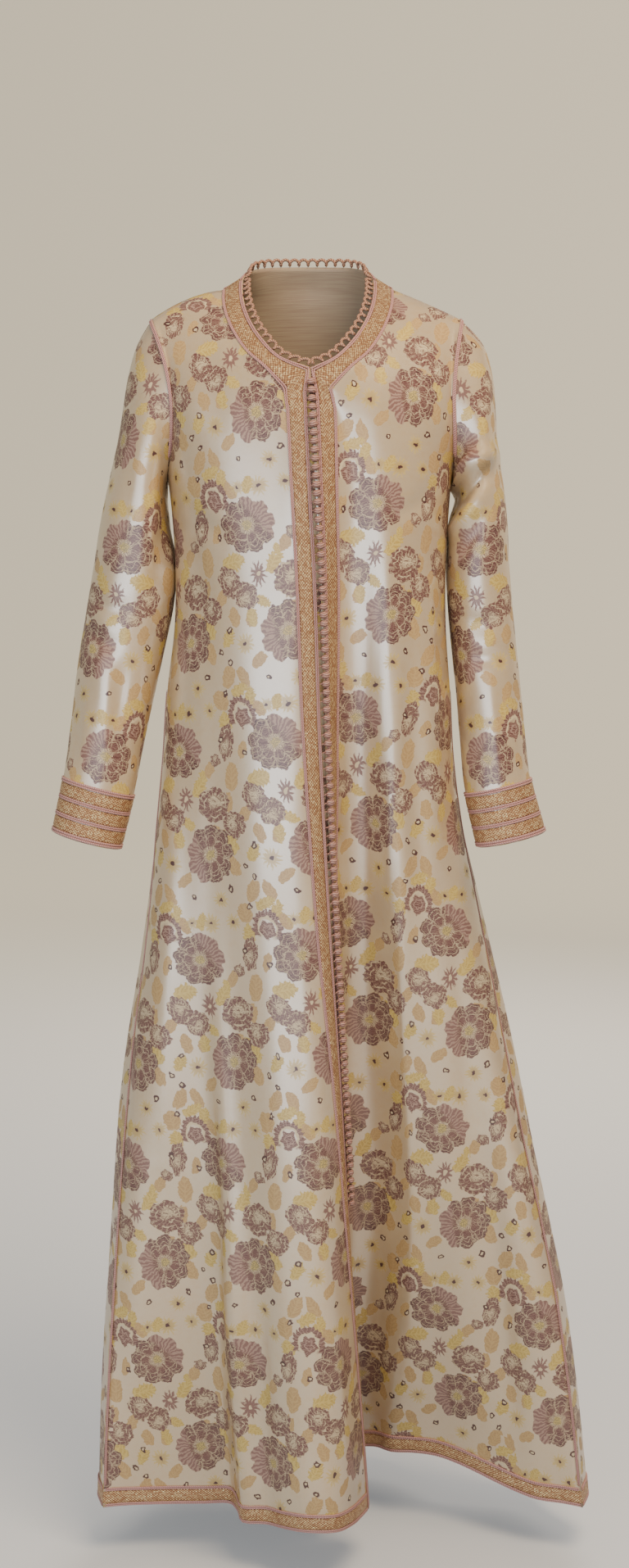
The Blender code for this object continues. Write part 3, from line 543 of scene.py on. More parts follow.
class Dye:
    """Builds the nodes of one finish round its Principled shader."""

    def __init__(self, name, **constants):
        self.material = bpy.data.materials.new(name)
        self.material.use_nodes = True
        self.tree = self.material.node_tree
        self.shader = self.tree.nodes["Principled BSDF"]
        for socket, value in constants.items():
            self.shader.inputs[socket.replace("_", " ")].default_value = value

    def join(self, value, socket):
        if isinstance(value, Wire):
            self.tree.links.new(value.socket, socket)
        else:
            socket.default_value = value

    def add(self, kind, settings, sockets, output=0):
        node = self.tree.nodes.new(kind)
        for key, value in settings.items():
            setattr(node, key, value)
        for key, value in sockets.items():
            self.join(value, node.inputs[key])
        return Wire(self, node.outputs[output])

    def feed(self, **sockets):
        for key, value in sockets.items():
            self.join(value, self.shader.inputs[key.replace("_", " ")])

    def maths(self, operation, *values):
        return self.add("ShaderNodeMath", {"operation": operation}, dict(enumerate(values)))

    def vector(self, operation, *values, output=0):
        return self.add("ShaderNodeVectorMath", {"operation": operation}, dict(enumerate(values)), output)

    def scaled(self, place, scale):
        return self.add("ShaderNodeVectorMath", {"operation": "SCALE"}, {0: place, "Scale": scale})

    def mix(self, factor, first, second):
        return self.add("ShaderNodeMix", {"data_type": "RGBA"}, {0: factor, 6: first, 7: second}, 2)

    def choose_value(self, factor, first, second):
        return self.add("ShaderNodeMix", {"data_type": "FLOAT"}, {0: factor, 2: first, 3: second})

    def rise(self, value, low, high):
        """0 below low, 1 above high, and smooth between them; low may be above high."""
        return self.add("ShaderNodeMapRange", {"interpolation_type": "SMOOTHSTEP"},
                        {0: value, 1: low, 2: high})

    def band(self, value, middle, half):
        """1 where a value is close to a middle."""
        return self.rise(self.away(value - middle), half, half * 0.45)

    def away(self, value):
        return self.maths("ABSOLUTE", value)

    def most(self, first, second):
        return self.maths("MAXIMUM", first, second)

    def repeat(self, value):
        """0 to 1 again and again; the value is above 0."""
        return self.maths("FRACT", value)

    def wave(self, value):
        return self.maths("COSINE", value)

    def noise(self, place, scale, detail=2.0, output=0):
        return self.add("ShaderNodeTexNoise", {}, {"Vector": place, "Scale": scale, "Detail": detail}, output)

    def parts(self, place, count=2):
        node = self.tree.nodes.new("ShaderNodeSeparateXYZ")
        self.join(place, node.inputs[0])
        return [Wire(self, socket) for socket in node.outputs[:count]]

    def cut(self, size=MILLIMETRE):
        """Place on the flat cut, in the given part of a metre."""
        return self.scaled(self.add("ShaderNodeUVMap", {"uv_map": "cut"}, {}), 1 / size)

    def bump(self, height, distance):
        return self.add("ShaderNodeBump", {}, {"Height": height, "Distance": distance})


def shade(red, green, blue):
    """A dye's colour from its 0 to 255 parts."""
    parts = [value / 255 for value in (red, green, blue)]
    return (*(part / 12.92 if part <= 0.04045 else ((part + 0.055) / 1.055) ** 2.4 for part in parts), 1.0)


# The repeat of the brocade, in millimetres from the middle of the large bloom,
# x to the right and y up.  turn is in degrees.
TILE = (127.0, 240.0)
REACH = 7.0     # how far beyond its outline a motif may wander, with the size of a face
Motif = namedtuple("Motif", "x y wide tall turn")
MOTIFS = {
    "dahlia": [(0, 0, 66, 64, 0), (30, -120, 62, 70, 158)],
    "rose": [(42, -64, 43, 41, 0), (-31, -60, 28, 40, 30), (-13, -76, 30, 32, 200),
             (-61, -88, 31, 31, 80), (-60, 5, 20, 42, 170), (50, -14, 14, 16, 60)],
    "crown": [(-35, 33, 36, 46, 8)],
    "star": [(5, -55, 22, 32, 0)],
    "daisy": [(-20, -128, 24, 26, 0), (37, -172, 22, 22, 10), (20, -199, 26, 24, 0),
              (50, -198, 20, 22, 20), (-4, 42, 20, 18, 20)],
    "berry": [(-38, -112, 7, 8, 0), (-52, -134, 6, 8, 20), (-42, -147, 7, 7, 0), (-53, -181, 6, 7, 0),
              (-37, -8, 6, 8, 0), (60, 9, 7, 8, 0), (52, -160, 7, 8, 0), (3, -167, 7, 6, 0)],
    "gold": [(-23, -38, 32, 24, 8), (25, -42, 34, 18, 54), (6, -84, 24, 14, -38), (57, -106, 38, 24, 125),
             (-22, -186, 26, 15, 75), (30, -30, 16, 10, 90), (-58, 28, 26, 20, 100), (-8, -100, 26, 15, 96),
             (-40, -120, 26, 17, 60), (8, 44, 24, 14, 70), (-34, 62, 28, 16, 20)],
    "tan": [(-58, -34, 38, 18, 84), (-30, -98, 27, 14, 104), (-10, -101, 24, 12, 78),
            (-45, -76, 24, 13, 60), (60, -134, 30, 16, 110), (-46, -163, 32, 16, 62),
            (-27, -164, 30, 13, 112), (-60, 52, 28, 20, 95), (-40, -5, 26, 11, 72), (40, -24, 24, 13, 60),
            (36, -94, 26, 13, 20), (-6, -148, 26, 13, 40), (62, -62, 26, 12, 88), (-14, 40, 26, 13, 120)],
}
# The kinds of motif that each of the brocade's finishes knows, in the order in
# which they are laid.  A stretch of cloth takes the plainest finish that has
# all of its motifs.
GROUPS = {
    "ground": (),
    "leaves": ("tan", "gold", "daisy", "berry"),
    "roses": ("tan", "gold", "daisy", "star", "rose", "crown", "berry"),
    "all": ("tan", "gold", "daisy", "star", "rose", "crown", "dahlia", "berry"),
}
GROUND = shade(200, 170, 128)
CREAM = shade(216, 190, 148)
MAUVE = shade(102, 60, 52)
DEEP_MAUVE = shade(78, 44, 40)
GREY_MAUVE = shade(134, 96, 84)
PALE_MAUVE = shade(172, 136, 116)
PALE_GOLD = shade(190, 154, 76)
LIGHT_GOLD = shade(212, 180, 102)
TAN = shade(182, 142, 90)
LIGHT_TAN = shade(198, 160, 106)
OLIVE = shade(150, 128, 84)


def spin_of(turn):
    """Turns a row of (x, y) pairs back by an angle."""
    return np.array([[math.cos(turn), -math.sin(turn)], [math.sin(turn), math.cos(turn)]])


def chart(places):
    """Where the corners of each face lie in its nearest motif of every kind, and its finish.

    A place is in half widths and half heights of the motif, and its third number
    is how many of them go to a millimetre.
    """
    corners = places.reshape(-1, 4, 2) / MILLIMETRE
    middle = corners.mean(axis=1)
    charts = {}
    finish = np.zeros(len(middle), dtype=np.int32)
    for kind, rows in MOTIFS.items():
        best, local = np.full(len(middle), FAR), np.zeros((len(middle), 4, 3))
        for motif in (Motif(*row) for row in rows):
            centre, half = np.array([motif.x, motif.y]), np.array([motif.wide, motif.tall]) / 2
            spin = spin_of(math.radians(motif.turn))
            centre = centre + np.round((middle - centre) / TILE) * TILE
            size = np.linalg.norm((middle - centre) @ spin / half, axis=1)
            near = size < best
            best[near] = size[near]
            local[near, :, :2] = ((corners - centre[:, None]) @ spin / half)[near]
            local[near, :, 2] = 1 / half.mean()
        first = next(number for number, kinds in enumerate(GROUPS.values()) if kind in kinds)
        present = best < 1.0 + REACH * local[:, 0, 2]
        finish = np.where(present, np.maximum(finish, first), finish)
        charts[kind] = local
    return charts, finish


class Brocade(Dye):
    """The satin ground, over which motifs are laid one after another."""

    def __init__(self, name):
        super().__init__("satin_brocade_" + name, Coat_IOR=3.0, Coat_Roughness=0.33, Specular_IOR_Level=0.25)
        place = self.cut()
        wander = self.noise(place, 0.16, output=1)
        drift = self.vector("SUBTRACT", wander, (0.5, 0.5, 0.5))
        self.drift = self.vector("MULTIPLY", drift, (8.0, 8.0, 0.0))    # up to 4 mm each way
        across, up = self.parts(self.vector("ADD", place, self.drift))
        self.rough = self.noise(place, 0.7) - 0.5
        picks = self.wave(up * 3.4 + 1.4 * self.wave(across * 0.55))       # short weft floats
        self.floats = self.rise(picks + 2.6 * self.rough, -0.5, 0.7)
        self.colour = self.mix(self.rise(wander, 0.42, 0.75) * 0.55, GROUND, LIGHT_TAN)
        self.thread = 0.0

    def lay_over(self, mask, tint):
        self.colour = self.mix(mask, self.colour, tint)
        self.thread = self.most(mask, self.thread)


class Bloom:
    """Polar places within the nearest motif of one kind."""

    def __init__(self, dye, kind):
        local = dye.add("ShaderNodeAttribute", {"attribute_name": kind}, {}, 1)
        scale = dye.parts(local, 3)[2]
        local = dye.vector("ADD", local, dye.scaled(dye.drift, scale))
        local = dye.vector("MULTIPLY", local, (1.0, 1.0, 0.0))
        self.dye = dye
        self.x, self.y = dye.parts(local)
        self.size = dye.vector("LENGTH", local, output=1)
        self.angle = dye.maths("ARCTAN2", self.y, self.x)

    def lobes(self, count, shift=0.0):
        """How far round a lobe: 0 in its middle and 1 at its sides."""
        turn = self.dye.repeat(self.angle * (count / (2 * math.pi)) + (count + shift))
        return self.dye.away(turn * 2.0 - 1.0)


def lay_leaf(dye, kind):
    """A toothed leaf along x; cutting is how deep its teeth go."""
    dark, light, cutting = {"tan": (TAN, LIGHT_TAN, 0.10), "gold": (PALE_GOLD, LIGHT_GOLD, 0.48)}[kind]
    leaf = Bloom(dye, kind)
    side = dye.away(leaf.y)
    teeth = dye.repeat(leaf.x * 3.1 - side * 1.5 + 8.0)
    edge = leaf.size + cutting * (teeth * side) + 0.22 * (leaf.x * leaf.x)
    veins = dye.most(dye.band(teeth, 0.5, 0.26), dye.rise(side, 0.10, 0.04))
    dye.lay_over(dye.rise(edge, 1.06, 0.98), dye.mix(dye.most(veins, dye.floats * 0.6), dark, light))


def lay_daisy(dye, kind):
    daisy = Bloom(dye, kind)
    edge = daisy.size + 0.55 * daisy.lobes(13)
    petal = dye.mix(dye.rise(daisy.size, 0.3, 0.8), PALE_GOLD, LIGHT_GOLD)
    dye.lay_over(dye.rise(edge, 1.06, 0.94) * 0.7, petal)
    dye.lay_over(dye.rise(daisy.size, 0.24, 0.16), DEEP_MAUVE)


def lay_star(dye, kind):
    star = Bloom(dye, kind)
    edge = star.size + 0.55 * star.lobes(11)
    dye.lay_over(dye.rise(edge, 1.08, 0.82), dye.mix(dye.rise(star.size, 0.24, 0.16), GREY_MAUVE, CREAM))


def lay_rose(dye, kind):
    """A dark outer ring and side leaf round a pale heart of curling petals."""
    rose = Bloom(dye, kind)
    size, teeth = rose.size, rose.lobes(21)
    edge = size + 0.12 * rose.lobes(6, 0.2) + 0.05 * teeth
    turned = size * 3.1 - rose.angle * (0.5 / math.pi) + 0.5 * (rose.lobes(5) * size)
    curl = dye.band(dye.repeat(turned + 4.0), 0.5, 0.16)
    ring = dye.rise(size - 0.22 * dye.wave(rose.angle - 0.6) + 0.24 * teeth, 0.44, 0.62)
    leaf = dye.away(rose.x - 0.34) + dye.away(rose.y + 0.36) * 1.3 + 0.2 * teeth
    body = dye.most(ring, dye.rise(leaf, 0.66, 0.54))
    pale = dye.mix(dye.floats * 0.5, CREAM, GREY_MAUVE)
    petal = dye.mix(body, pale, dye.mix(dye.floats, MAUVE, GREY_MAUVE))
    curl = curl * dye.rise(dye.wave(rose.angle * 3.0 + size * 7.0), -0.7, 0.3)
    strokes = dye.rise(dye.wave(rose.angle * 17.0 + size * 5.0 + dye.rough * 8.0), 0.45, 0.95)
    petal = dye.mix(strokes * size * 0.6, petal, CREAM)
    petal = dye.mix(curl * 0.8, petal, dye.mix(body, MAUVE, CREAM))
    dye.lay_over(dye.rise(edge, 1.07, 1.03), petal)


def lay_crown(dye, kind):
    """A toothed arc over a cream one, above a ball of dark petals."""
    crown = Bloom(dye, kind)
    size, teeth = crown.size, crown.lobes(22)
    above = dye.rise(crown.y + 0.25 * crown.x, -0.50, -0.35)
    arc = dye.rise(size + 0.14 * teeth, 1.04, 0.98) * dye.rise(size, 0.56, 0.64) * above
    dye.lay_over(arc, dye.mix(dye.most(dye.floats * 0.6, dye.rise(teeth, 0.7, 0.95)), MAUVE, PALE_MAUVE))
    dye.lay_over(dye.rise(size, 0.66, 0.60) * dye.rise(size, 0.50, 0.54) * above, CREAM)
    ball = size + 0.14 * crown.lobes(5) + 0.15 * crown.y
    grain = dye.most(dye.floats * 0.7, dye.band(ball, 0.3, 0.06))
    dye.lay_over(dye.rise(ball, 0.58, 0.52), dye.mix(grain, MAUVE, PALE_MAUVE))


def lay_dahlia(dye, kind):
    """Two rings of petals, a fringe on one side and a light heart."""
    dahlia = Bloom(dye, kind)
    size = dahlia.size
    inner, outer = dahlia.lobes(7), dahlia.lobes(9, 0.35)
    within = 0.62 - 0.13 * (inner * inner) - size
    outline = 1.0 - 0.14 * (outer * outer) - size
    line_in = dye.most(dye.rise(inner, 0.92, 0.98), dye.rise(within, 0.04, 0.015))
    ribs = dye.band(dye.repeat(size * 6.0 + outer * 0.8), 0.5, 0.09)
    line_out = dye.most(dye.rise(outer, 0.93, 0.98), ribs)
    lines = dye.choose_value(dye.rise(within, -0.01, 0.01), line_out, line_in)
    strokes = dye.rise(dye.wave(dahlia.angle * 31.0 + size * 6.0 + dye.rough * 9.0), 0.35, 0.95)
    lines = dye.most(lines, strokes * dye.rise(inner + outer, 0.4, 1.5) * 0.8)
    petal = dye.mix(dye.floats, dye.mix(dye.rise(size, 0.25, 1.0), MAUVE, DEEP_MAUVE), GREY_MAUVE)
    petal = dye.mix(lines * 0.7, petal, CREAM)
    rays = dye.rise(dahlia.lobes(34), 0.35, 0.7)
    fringe = dye.rise(dahlia.x * 0.82 + dahlia.y * 0.57, 0.30, 0.46) * dye.rise(size, 0.38, 0.52)
    petal = dye.mix(fringe, petal, dye.mix(rays, GREY_MAUVE, PALE_MAUVE))
    petal = dye.mix(dye.rise(size, 0.34, 0.24) * rays, petal, CREAM)
    heart = dye.mix(dye.rise(dye.rough, -0.05, 0.1), OLIVE, LIGHT_GOLD)
    petal = dye.mix(dye.rise(size, 0.19, 0.14), petal, heart)
    dye.lay_over(dye.rise(outline, 0.0, 0.03), petal)


def lay_berry(dye, kind):
    berry = Bloom(dye, kind)
    tint = dye.mix(dye.rise(berry.size, 0.55, 0.35), DEEP_MAUVE, CREAM)
    dye.lay_over(dye.rise(berry.size, 1.1, 0.9), tint)


LAYERS = {"tan": lay_leaf, "gold": lay_leaf, "daisy": lay_daisy, "star": lay_star, "rose": lay_rose,
          "crown": lay_crown, "dahlia": lay_dahlia, "berry": lay_berry}


def weave_brocade(name, kinds):
    """Satin brocade; its floats are rougher than the ground and take less sheen."""
    dye = Brocade(name)
    for kind in kinds:
        LAYERS[kind](dye, kind)
    dye.feed(Base_Color=dye.colour, Roughness=dye.thread * 0.16 + 0.38, Coat_Weight=0.9 - dye.thread * 0.72)
    return dye.material


def weave_wrong_side():
    """The brocade's wrong side, where the loose floats show in bands."""
    dye = Dye("brocade wrong side", Roughness=0.62, Coat_IOR=1.7, Coat_Roughness=0.4, Coat_Weight=0.15)
    streak = dye.noise(dye.vector("MULTIPLY", dye.cut(), (0.02, 0.5, 1.0)), 1.0)
    dye.feed(Base_Color=dye.mix(streak, shade(186, 166, 132), shade(150, 118, 100)),
             Normal=dye.bump(dye.wave(dye.parts(dye.cut())[1] * 3.1), 0.00003))
    return dye.material


def weave_braid():
    """Gold braid: small slanting cells of metal thread, with painted shade in the grooves between the cells
    and painted glints where they catch the light.
    """
    dye = Dye("gold_braid", Metallic=0.35)
    along, over = dye.parts(dye.cut())
    cell = dye.wave(along * 0.87 + over * 1.05) * dye.wave(along * 0.87 - over * 1.05)
    pieces = dye.vector("FLOOR", dye.vector("MULTIPLY", dye.cut(), (0.55, 0.67, 0.0)))
    spark = dye.add("ShaderNodeTexWhiteNoise", {"noise_dimensions": "2D"}, {"Vector": pieces})
    painted_glint = dye.rise(spark, 0.86, 0.94) * dye.rise(cell, -0.1, 0.5)
    thread = dye.mix(dye.rise(spark, 0.2, 0.8), shade(184, 134, 88), shade(240, 200, 142))
    # painted shade: darker between the cells, where the bump is lowest
    tint = dye.mix(dye.rise(dye.away(cell), 0.06, 0.50), shade(136, 90, 66), thread)
    # painted glints: bright spots of colour standing in for light caught by the metal thread; the surface is
    # also smoother there
    tint = dye.mix(painted_glint, tint, shade(250, 224, 164))
    dye.feed(Base_Color=tint, Roughness=0.44 - 0.16 * painted_glint, Normal=dye.bump(dye.away(cell), 0.0005))
    return dye.material


def weave_cord(name, dark, light, spark):
    """Silk cord, twisted, with a little metal thread; painted shade darkens the grooves of its twist."""
    dye = Dye(name, Roughness=0.5, Coat_Weight=0.15, Coat_Roughness=0.35)
    along, round_it = dye.parts(dye.cut())
    twist = 0.5 + 0.5 * dye.wave(along * 2.4 + round_it * 1.26)
    # painted shade: the grooves of the twist, where its bump is low, take the dark colour
    tint = dye.mix(dye.rise(dye.noise(dye.cut(), 1.6), 0.58, 0.68), dye.mix(twist, dark, light), spark)
    dye.feed(Base_Color=tint, Normal=dye.bump(twist, 0.0003))
    return dye.material


def weave_knot():
    """Silk thread of the knot buttons, wound round each knot, with painted shade in the grooves between its
    turns and beneath each knot.
    """
    dye = Dye("knot_silk", Roughness=0.42, Coat_Weight=0.2, Coat_Roughness=0.3)
    round_it, up = dye.parts(dye.cut(ROUND_CUT))
    turns = 0.5 + 0.5 * dye.wave(up * 31.0 + 1.2 * dye.wave(round_it * 18.8))
    # painted shade: the grooves between the turns, where the bump is low, take the dark colour
    tint = dye.mix(turns, shade(136, 88, 76), shade(206, 158, 138))
    # painted shade beneath each knot, and along the side of each loop that faces the cloth
    tint = dye.mix(dye.rise(up, 0.30, 0.12), tint, shade(84, 48, 40))
    dye.feed(Base_Color=tint, Normal=dye.bump(turns, 0.0005))
    return dye.material


brocades = [weave_brocade(name, kinds) for name, kinds in GROUPS.items()]
wrong_side = weave_wrong_side()
braid_gold = weave_braid()
cord_rose = weave_cord("rose_cord", shade(160, 108, 102), shade(212, 160, 150), shade(222, 176, 140))
cord_edge = weave_cord("edge_cord", shade(122, 82, 58), shade(200, 148, 126), shade(216, 176, 100))
silk_knot = weave_knot()


# ---------------------------------------------------------------- fine cloth
def spacing(grid, axis):
    """Where each line of a grid lies along an axis, from the mean distance between lines."""
    steps = np.linalg.norm(np.diff(grid[..., :3], axis=axis), axis=-1).mean(axis=1 - axis)
    return np.concatenate([[0.0], np.cumsum(steps)])


def divide(knots, cell):
    """Places that split each stretch between knots into even steps, and the knots' own indexes."""
    places, marks = [], []
    for near, far in zip(knots, knots[1:]):
        marks.append(len(places))
        places += list(np.linspace(near, far, max(2, round((far - near) / cell)) + 1)[:-1])
    return np.array(places + [knots[-1]]), marks + [len(places)]


def smooth_lines(knots, values, at, corners=()):
    """Smooth curves along the first axis; at a corner a curve may turn sharply."""
    slopes = np.gradient(values, knots, axis=0)
    arrive, leave = slopes.copy(), slopes.copy()
    for line, place in corners:
        for slope, near, far in ((arrive, line - 1, line), (leave, line, line + 1)):
            slope[line, place] = (values[far, place] - values[near, place]) / (knots[far] - knots[near])
    first = np.clip(np.searchsorted(knots, at, side="right") - 1, 0, len(knots) - 2)
    span = (knots[first + 1] - knots[first])[:, None, None]
    t = (at - knots[first])[:, None, None] / span
    return glide(t, values[first], values[first + 1], leave[first] * span, arrive[first + 1] * span)


FLATTEN_PASSES = 60


def lay_flat(grid, across_sign, up_sign):
    """Flatten a coarse grid as a cutter's pattern, keeping its lengths as well as may be."""
    rows, columns = grid.shape[:2]
    width = np.cumsum(np.linalg.norm(np.diff(grid, axis=1, prepend=grid[:, :1]), axis=-1), axis=1)
    height = np.cumsum(np.linalg.norm(np.diff(grid, axis=0, prepend=grid[:1]), axis=-1), axis=0)
    flat = np.stack([across_sign * width, up_sign * height], axis=-1).reshape(-1, 2)
    points = grid.reshape(-1, 3)
    index = np.arange(rows * columns).reshape(rows, columns)
    pairs = np.concatenate([
        np.stack([index[a].ravel(), index[b].ravel()], axis=1)
        for a, b in (((slice(None), slice(1, None)), (slice(None), slice(None, -1))),
                     ((slice(1, None), slice(None)), (slice(None, -1), slice(None))),
                     ((slice(1, None), slice(1, None)), (slice(None, -1), slice(None, -1))),
                     ((slice(1, None), slice(None, -1)), (slice(None, -1), slice(1, None))))])
    near, far = pairs.T
    length = np.linalg.norm(points[near] - points[far], axis=1)
    ties = np.zeros((len(points), len(points)))
    np.add.at(ties, (near, near), 1.0)
    np.add.at(ties, (far, far), 1.0)
    np.add.at(ties, (near, far), -1.0)
    np.add.at(ties, (far, near), -1.0)
    solve = np.linalg.pinv(ties)
    for _ in range(FLATTEN_PASSES):
        pull = unit(flat[near] - flat[far]) * length[:, None]
        push = np.zeros_like(flat)
        np.add.at(push, near, pull)
        np.add.at(push, far, -pull)
        flat = solve @ push
    return flat.reshape(rows, columns, 2)


def stand_upright(flat, column, first, last):
    """Turn a flat cut so that one of its columns runs straight up, and measure from its foot."""
    way = flat[last, column] - flat[first, column]
    if way[1] < 0:
        way = -way
    return (flat - flat[first, column]) @ spin_of(math.atan2(way[0], way[1])).T


def finer(grid, flat, row_knots, column_knots, row_corners=(), column_corners=(), tube=False):
    """Fine points and flat places of a panel, and the marks of its coarse lines."""
    if tube:
        grid = np.concatenate([grid[:, -1:], grid, grid[:, :2]], axis=1)
        before, after = 2 * flat[:, :1] - flat[:, 1:2], 2 * flat[:, -1:] - flat[:, -2:-1]
        flat = np.concatenate([before, flat, after], axis=1)
        gaps = np.diff(column_knots)
        column_knots = np.concatenate([[-gaps[-1]], column_knots, [column_knots[-1] + gaps[0]]])
        column_corners = [(line + 1, place) for line, place in column_corners]
    values = np.concatenate([grid, flat], axis=-1)
    at, row_marks = divide(row_knots, CELL)
    values = smooth_lines(row_knots, values, at, row_corners)
    inner = column_knots[1:-1] if tube else column_knots
    at, column_marks = divide(inner, CELL)
    values = smooth_lines(column_knots, values.transpose(1, 0, 2), at, column_corners).transpose(1, 0, 2)
    return values[..., :3], values[..., 3:], row_marks, column_marks


Crease = namedtuple("Crease", "starts bends ends gentle steep rise")
# A crease runs from starts by bends to ends, given as (x, z).  gentle and steep
# are how far it spreads on its two sides, and rise how far it stands out; a
# trough has a negative rise.  The number beside each piece's name is -1 for its
# front and 1 for its back.
CREASES = {
    # right front: the long soft ridge beside the side seam and those over the leg
    ("front_right", -1): [
        Crease((-0.150, -0.42), (-0.160, -0.70), (-0.172, -0.99), 0.020, 0.012, 0.0045),
        Crease((-0.118, -0.55), (-0.128, -0.90), (-0.150, -1.38), 0.030, 0.022, -0.0040),
        Crease((-0.082, -1.00), (-0.084, -1.20), (-0.074, -1.43), 0.016, 0.010, 0.0060),
        Crease((-0.052, -1.08), (-0.056, -1.25), (-0.050, -1.43), 0.016, 0.012, -0.0050),
        Crease((-0.192, -0.95), (-0.205, -1.20), (-0.212, -1.42), 0.020, 0.014, 0.0040),
        Crease((-0.140, -0.215), (-0.115, -0.250), (-0.085, -0.262), 0.012, 0.007, -0.0028),
        Crease((-0.138, -0.240), (-0.122, -0.320), (-0.118, -0.420), 0.014, 0.010, -0.0030),
        Crease((-0.120, -0.040), (-0.105, -0.095), (-0.100, -0.160), 0.020, 0.014, -0.0020),
    ],
    # left front
    ("front_left", -1): [
        Crease((0.132, -0.30), (0.138, -0.45), (0.150, -0.66), 0.016, 0.009, 0.0050),
        Crease((0.118, -0.36), (0.124, -0.55), (0.142, -0.80), 0.014, 0.010, -0.0040),
        Crease((0.150, -0.70), (0.166, -0.95), (0.192, -1.30), 0.030, 0.020, 0.0050),
        Crease((0.110, -0.62), (0.118, -0.85), (0.132, -1.15), 0.026, 0.020, -0.0035),
        Crease((0.205, -0.95), (0.225, -1.15), (0.250, -1.36), 0.022, 0.014, -0.0045),
        Crease((0.144, -0.205), (0.118, -0.235), (0.090, -0.240), 0.012, 0.007, -0.0026),
        Crease((0.122, -0.045), (0.108, -0.100), (0.104, -0.165), 0.020, 0.014, -0.0020),
    ],
    # back
    ("back", 1): [
        Crease((-0.120, -0.06), (-0.085, -0.150), (-0.095, -0.300), 0.022, 0.014, -0.0030),
        Crease((0.122, -0.07), (0.090, -0.165), (0.104, -0.320), 0.020, 0.014, -0.0034),
        Crease((-0.140, -0.21), (-0.100, -0.260), (-0.050, -0.275), 0.013, 0.008, -0.0030),
        Crease((0.145, -0.20), (0.110, -0.245), (0.062, -0.255), 0.013, 0.008, -0.0026),
        Crease((-0.070, -0.40), (-0.074, -0.62), (-0.088, -0.93), 0.022, 0.014, 0.0050),
        Crease((0.030, -0.46), (0.036, -0.70), (0.030, -1.02), 0.024, 0.016, -0.0045),
        Crease((0.104, -0.44), (0.120, -0.74), (0.150, -1.10), 0.022, 0.014, 0.0050),
        Crease((-0.150, -0.66), (-0.172, -0.98), (-0.190, -1.38), 0.026, 0.016, 0.0050),
        Crease((0.190, -0.80), (0.222, -1.10), (0.255, -1.40), 0.026, 0.018, -0.0050),
        Crease((-0.020, -0.95), (-0.028, -1.18), (-0.022, -1.42), 0.018, 0.012, 0.0050),
    ],
    # right sleeve: pulls from the underarm, the bend of the elbow, long soft lights
    ("sleeve_right", -1): [
        Crease((-0.168, -0.115), (-0.176, -0.215), (-0.186, -0.330), 0.012, 0.007, 0.0042),
        Crease((-0.158, -0.200), (-0.163, -0.270), (-0.172, -0.345), 0.010, 0.008, -0.0050),
        Crease((-0.190, -0.100), (-0.204, -0.200), (-0.214, -0.300), 0.016, 0.012, -0.0034),
        Crease((-0.240, -0.330), (-0.222, -0.345), (-0.200, -0.338), 0.010, 0.007, -0.0030),
        Crease((-0.256, -0.362), (-0.236, -0.380), (-0.212, -0.386), 0.009, 0.007, -0.0032),
        Crease((-0.236, -0.390), (-0.228, -0.450), (-0.232, -0.530), 0.014, 0.009, 0.0036),
        Crease((-0.206, -0.400), (-0.214, -0.450), (-0.226, -0.500), 0.010, 0.008, -0.0036),
        Crease((-0.262, -0.430), (-0.266, -0.480), (-0.266, -0.530), 0.010, 0.008, -0.0026),
    ],
    ("sleeve_right", 1): [
        Crease((-0.165, -0.120), (-0.180, -0.205), (-0.200, -0.280), 0.012, 0.008, 0.0040),
        Crease((-0.235, -0.300), (-0.212, -0.330), (-0.185, -0.330), 0.010, 0.007, -0.0036),
        Crease((-0.246, -0.340), (-0.222, -0.365), (-0.195, -0.372), 0.010, 0.007, -0.0036),
        Crease((-0.230, -0.400), (-0.236, -0.460), (-0.246, -0.530), 0.013, 0.009, 0.0030),
    ],
    # left sleeve: the deep pull from the underarm, and the soft break below it
    ("sleeve_left", -1): [
        Crease((0.152, -0.222), (0.176, -0.186), (0.212, -0.166), 0.014, 0.006, 0.0140),
        Crease((0.156, -0.240), (0.182, -0.207), (0.212, -0.190), 0.009, 0.007, -0.0110),
        Crease((0.154, -0.266), (0.176, -0.244), (0.194, -0.212), 0.009, 0.006, 0.0075),
        Crease((0.170, -0.285), (0.186, -0.262), (0.196, -0.235), 0.009, 0.007, -0.0036),
        Crease((0.176, -0.350), (0.196, -0.362), (0.216, -0.350), 0.014, 0.010, -0.0044),
        Crease((0.182, -0.392), (0.200, -0.402), (0.224, -0.392), 0.010, 0.008, -0.0036),
        Crease((0.224, -0.300), (0.229, -0.370), (0.236, -0.440), 0.012, 0.008, 0.0032),
        Crease((0.206, -0.420), (0.212, -0.480), (0.222, -0.545), 0.012, 0.008, 0.0030),
    ],
    ("sleeve_left", 1): [
        Crease((0.168, -0.130), (0.186, -0.200), (0.204, -0.270), 0.012, 0.008, 0.0040),
        Crease((0.228, -0.310), (0.206, -0.335), (0.180, -0.340), 0.010, 0.007, -0.0038),
        Crease((0.234, -0.350), (0.212, -0.372), (0.186, -0.378), 0.010, 0.007, -0.0034),
        Crease((0.214, -0.410), (0.220, -0.460), (0.232, -0.530), 0.013, 0.009, 0.0030),
    ],
}
CREASE_STEPS = 14
END_FADE = 0.02         # share of a crease over which its ends are held at one height
# Long shallow waves that all of the cloth has: how fast they turn per metre
# across, back and up, and where they start.
Wave = namedtuple("Wave", "across back up starts")
WAVES = [Wave(21.0, 17.0, 6.2, 0.4), Wave(-13.0, 17.0, 10.6, 1.9),
         Wave(34.0, 17.0, -14.0, 3.3), Wave(9.0, 17.0, 22.0, 5.1)]
WAVE_HEIGHT = 0.00045


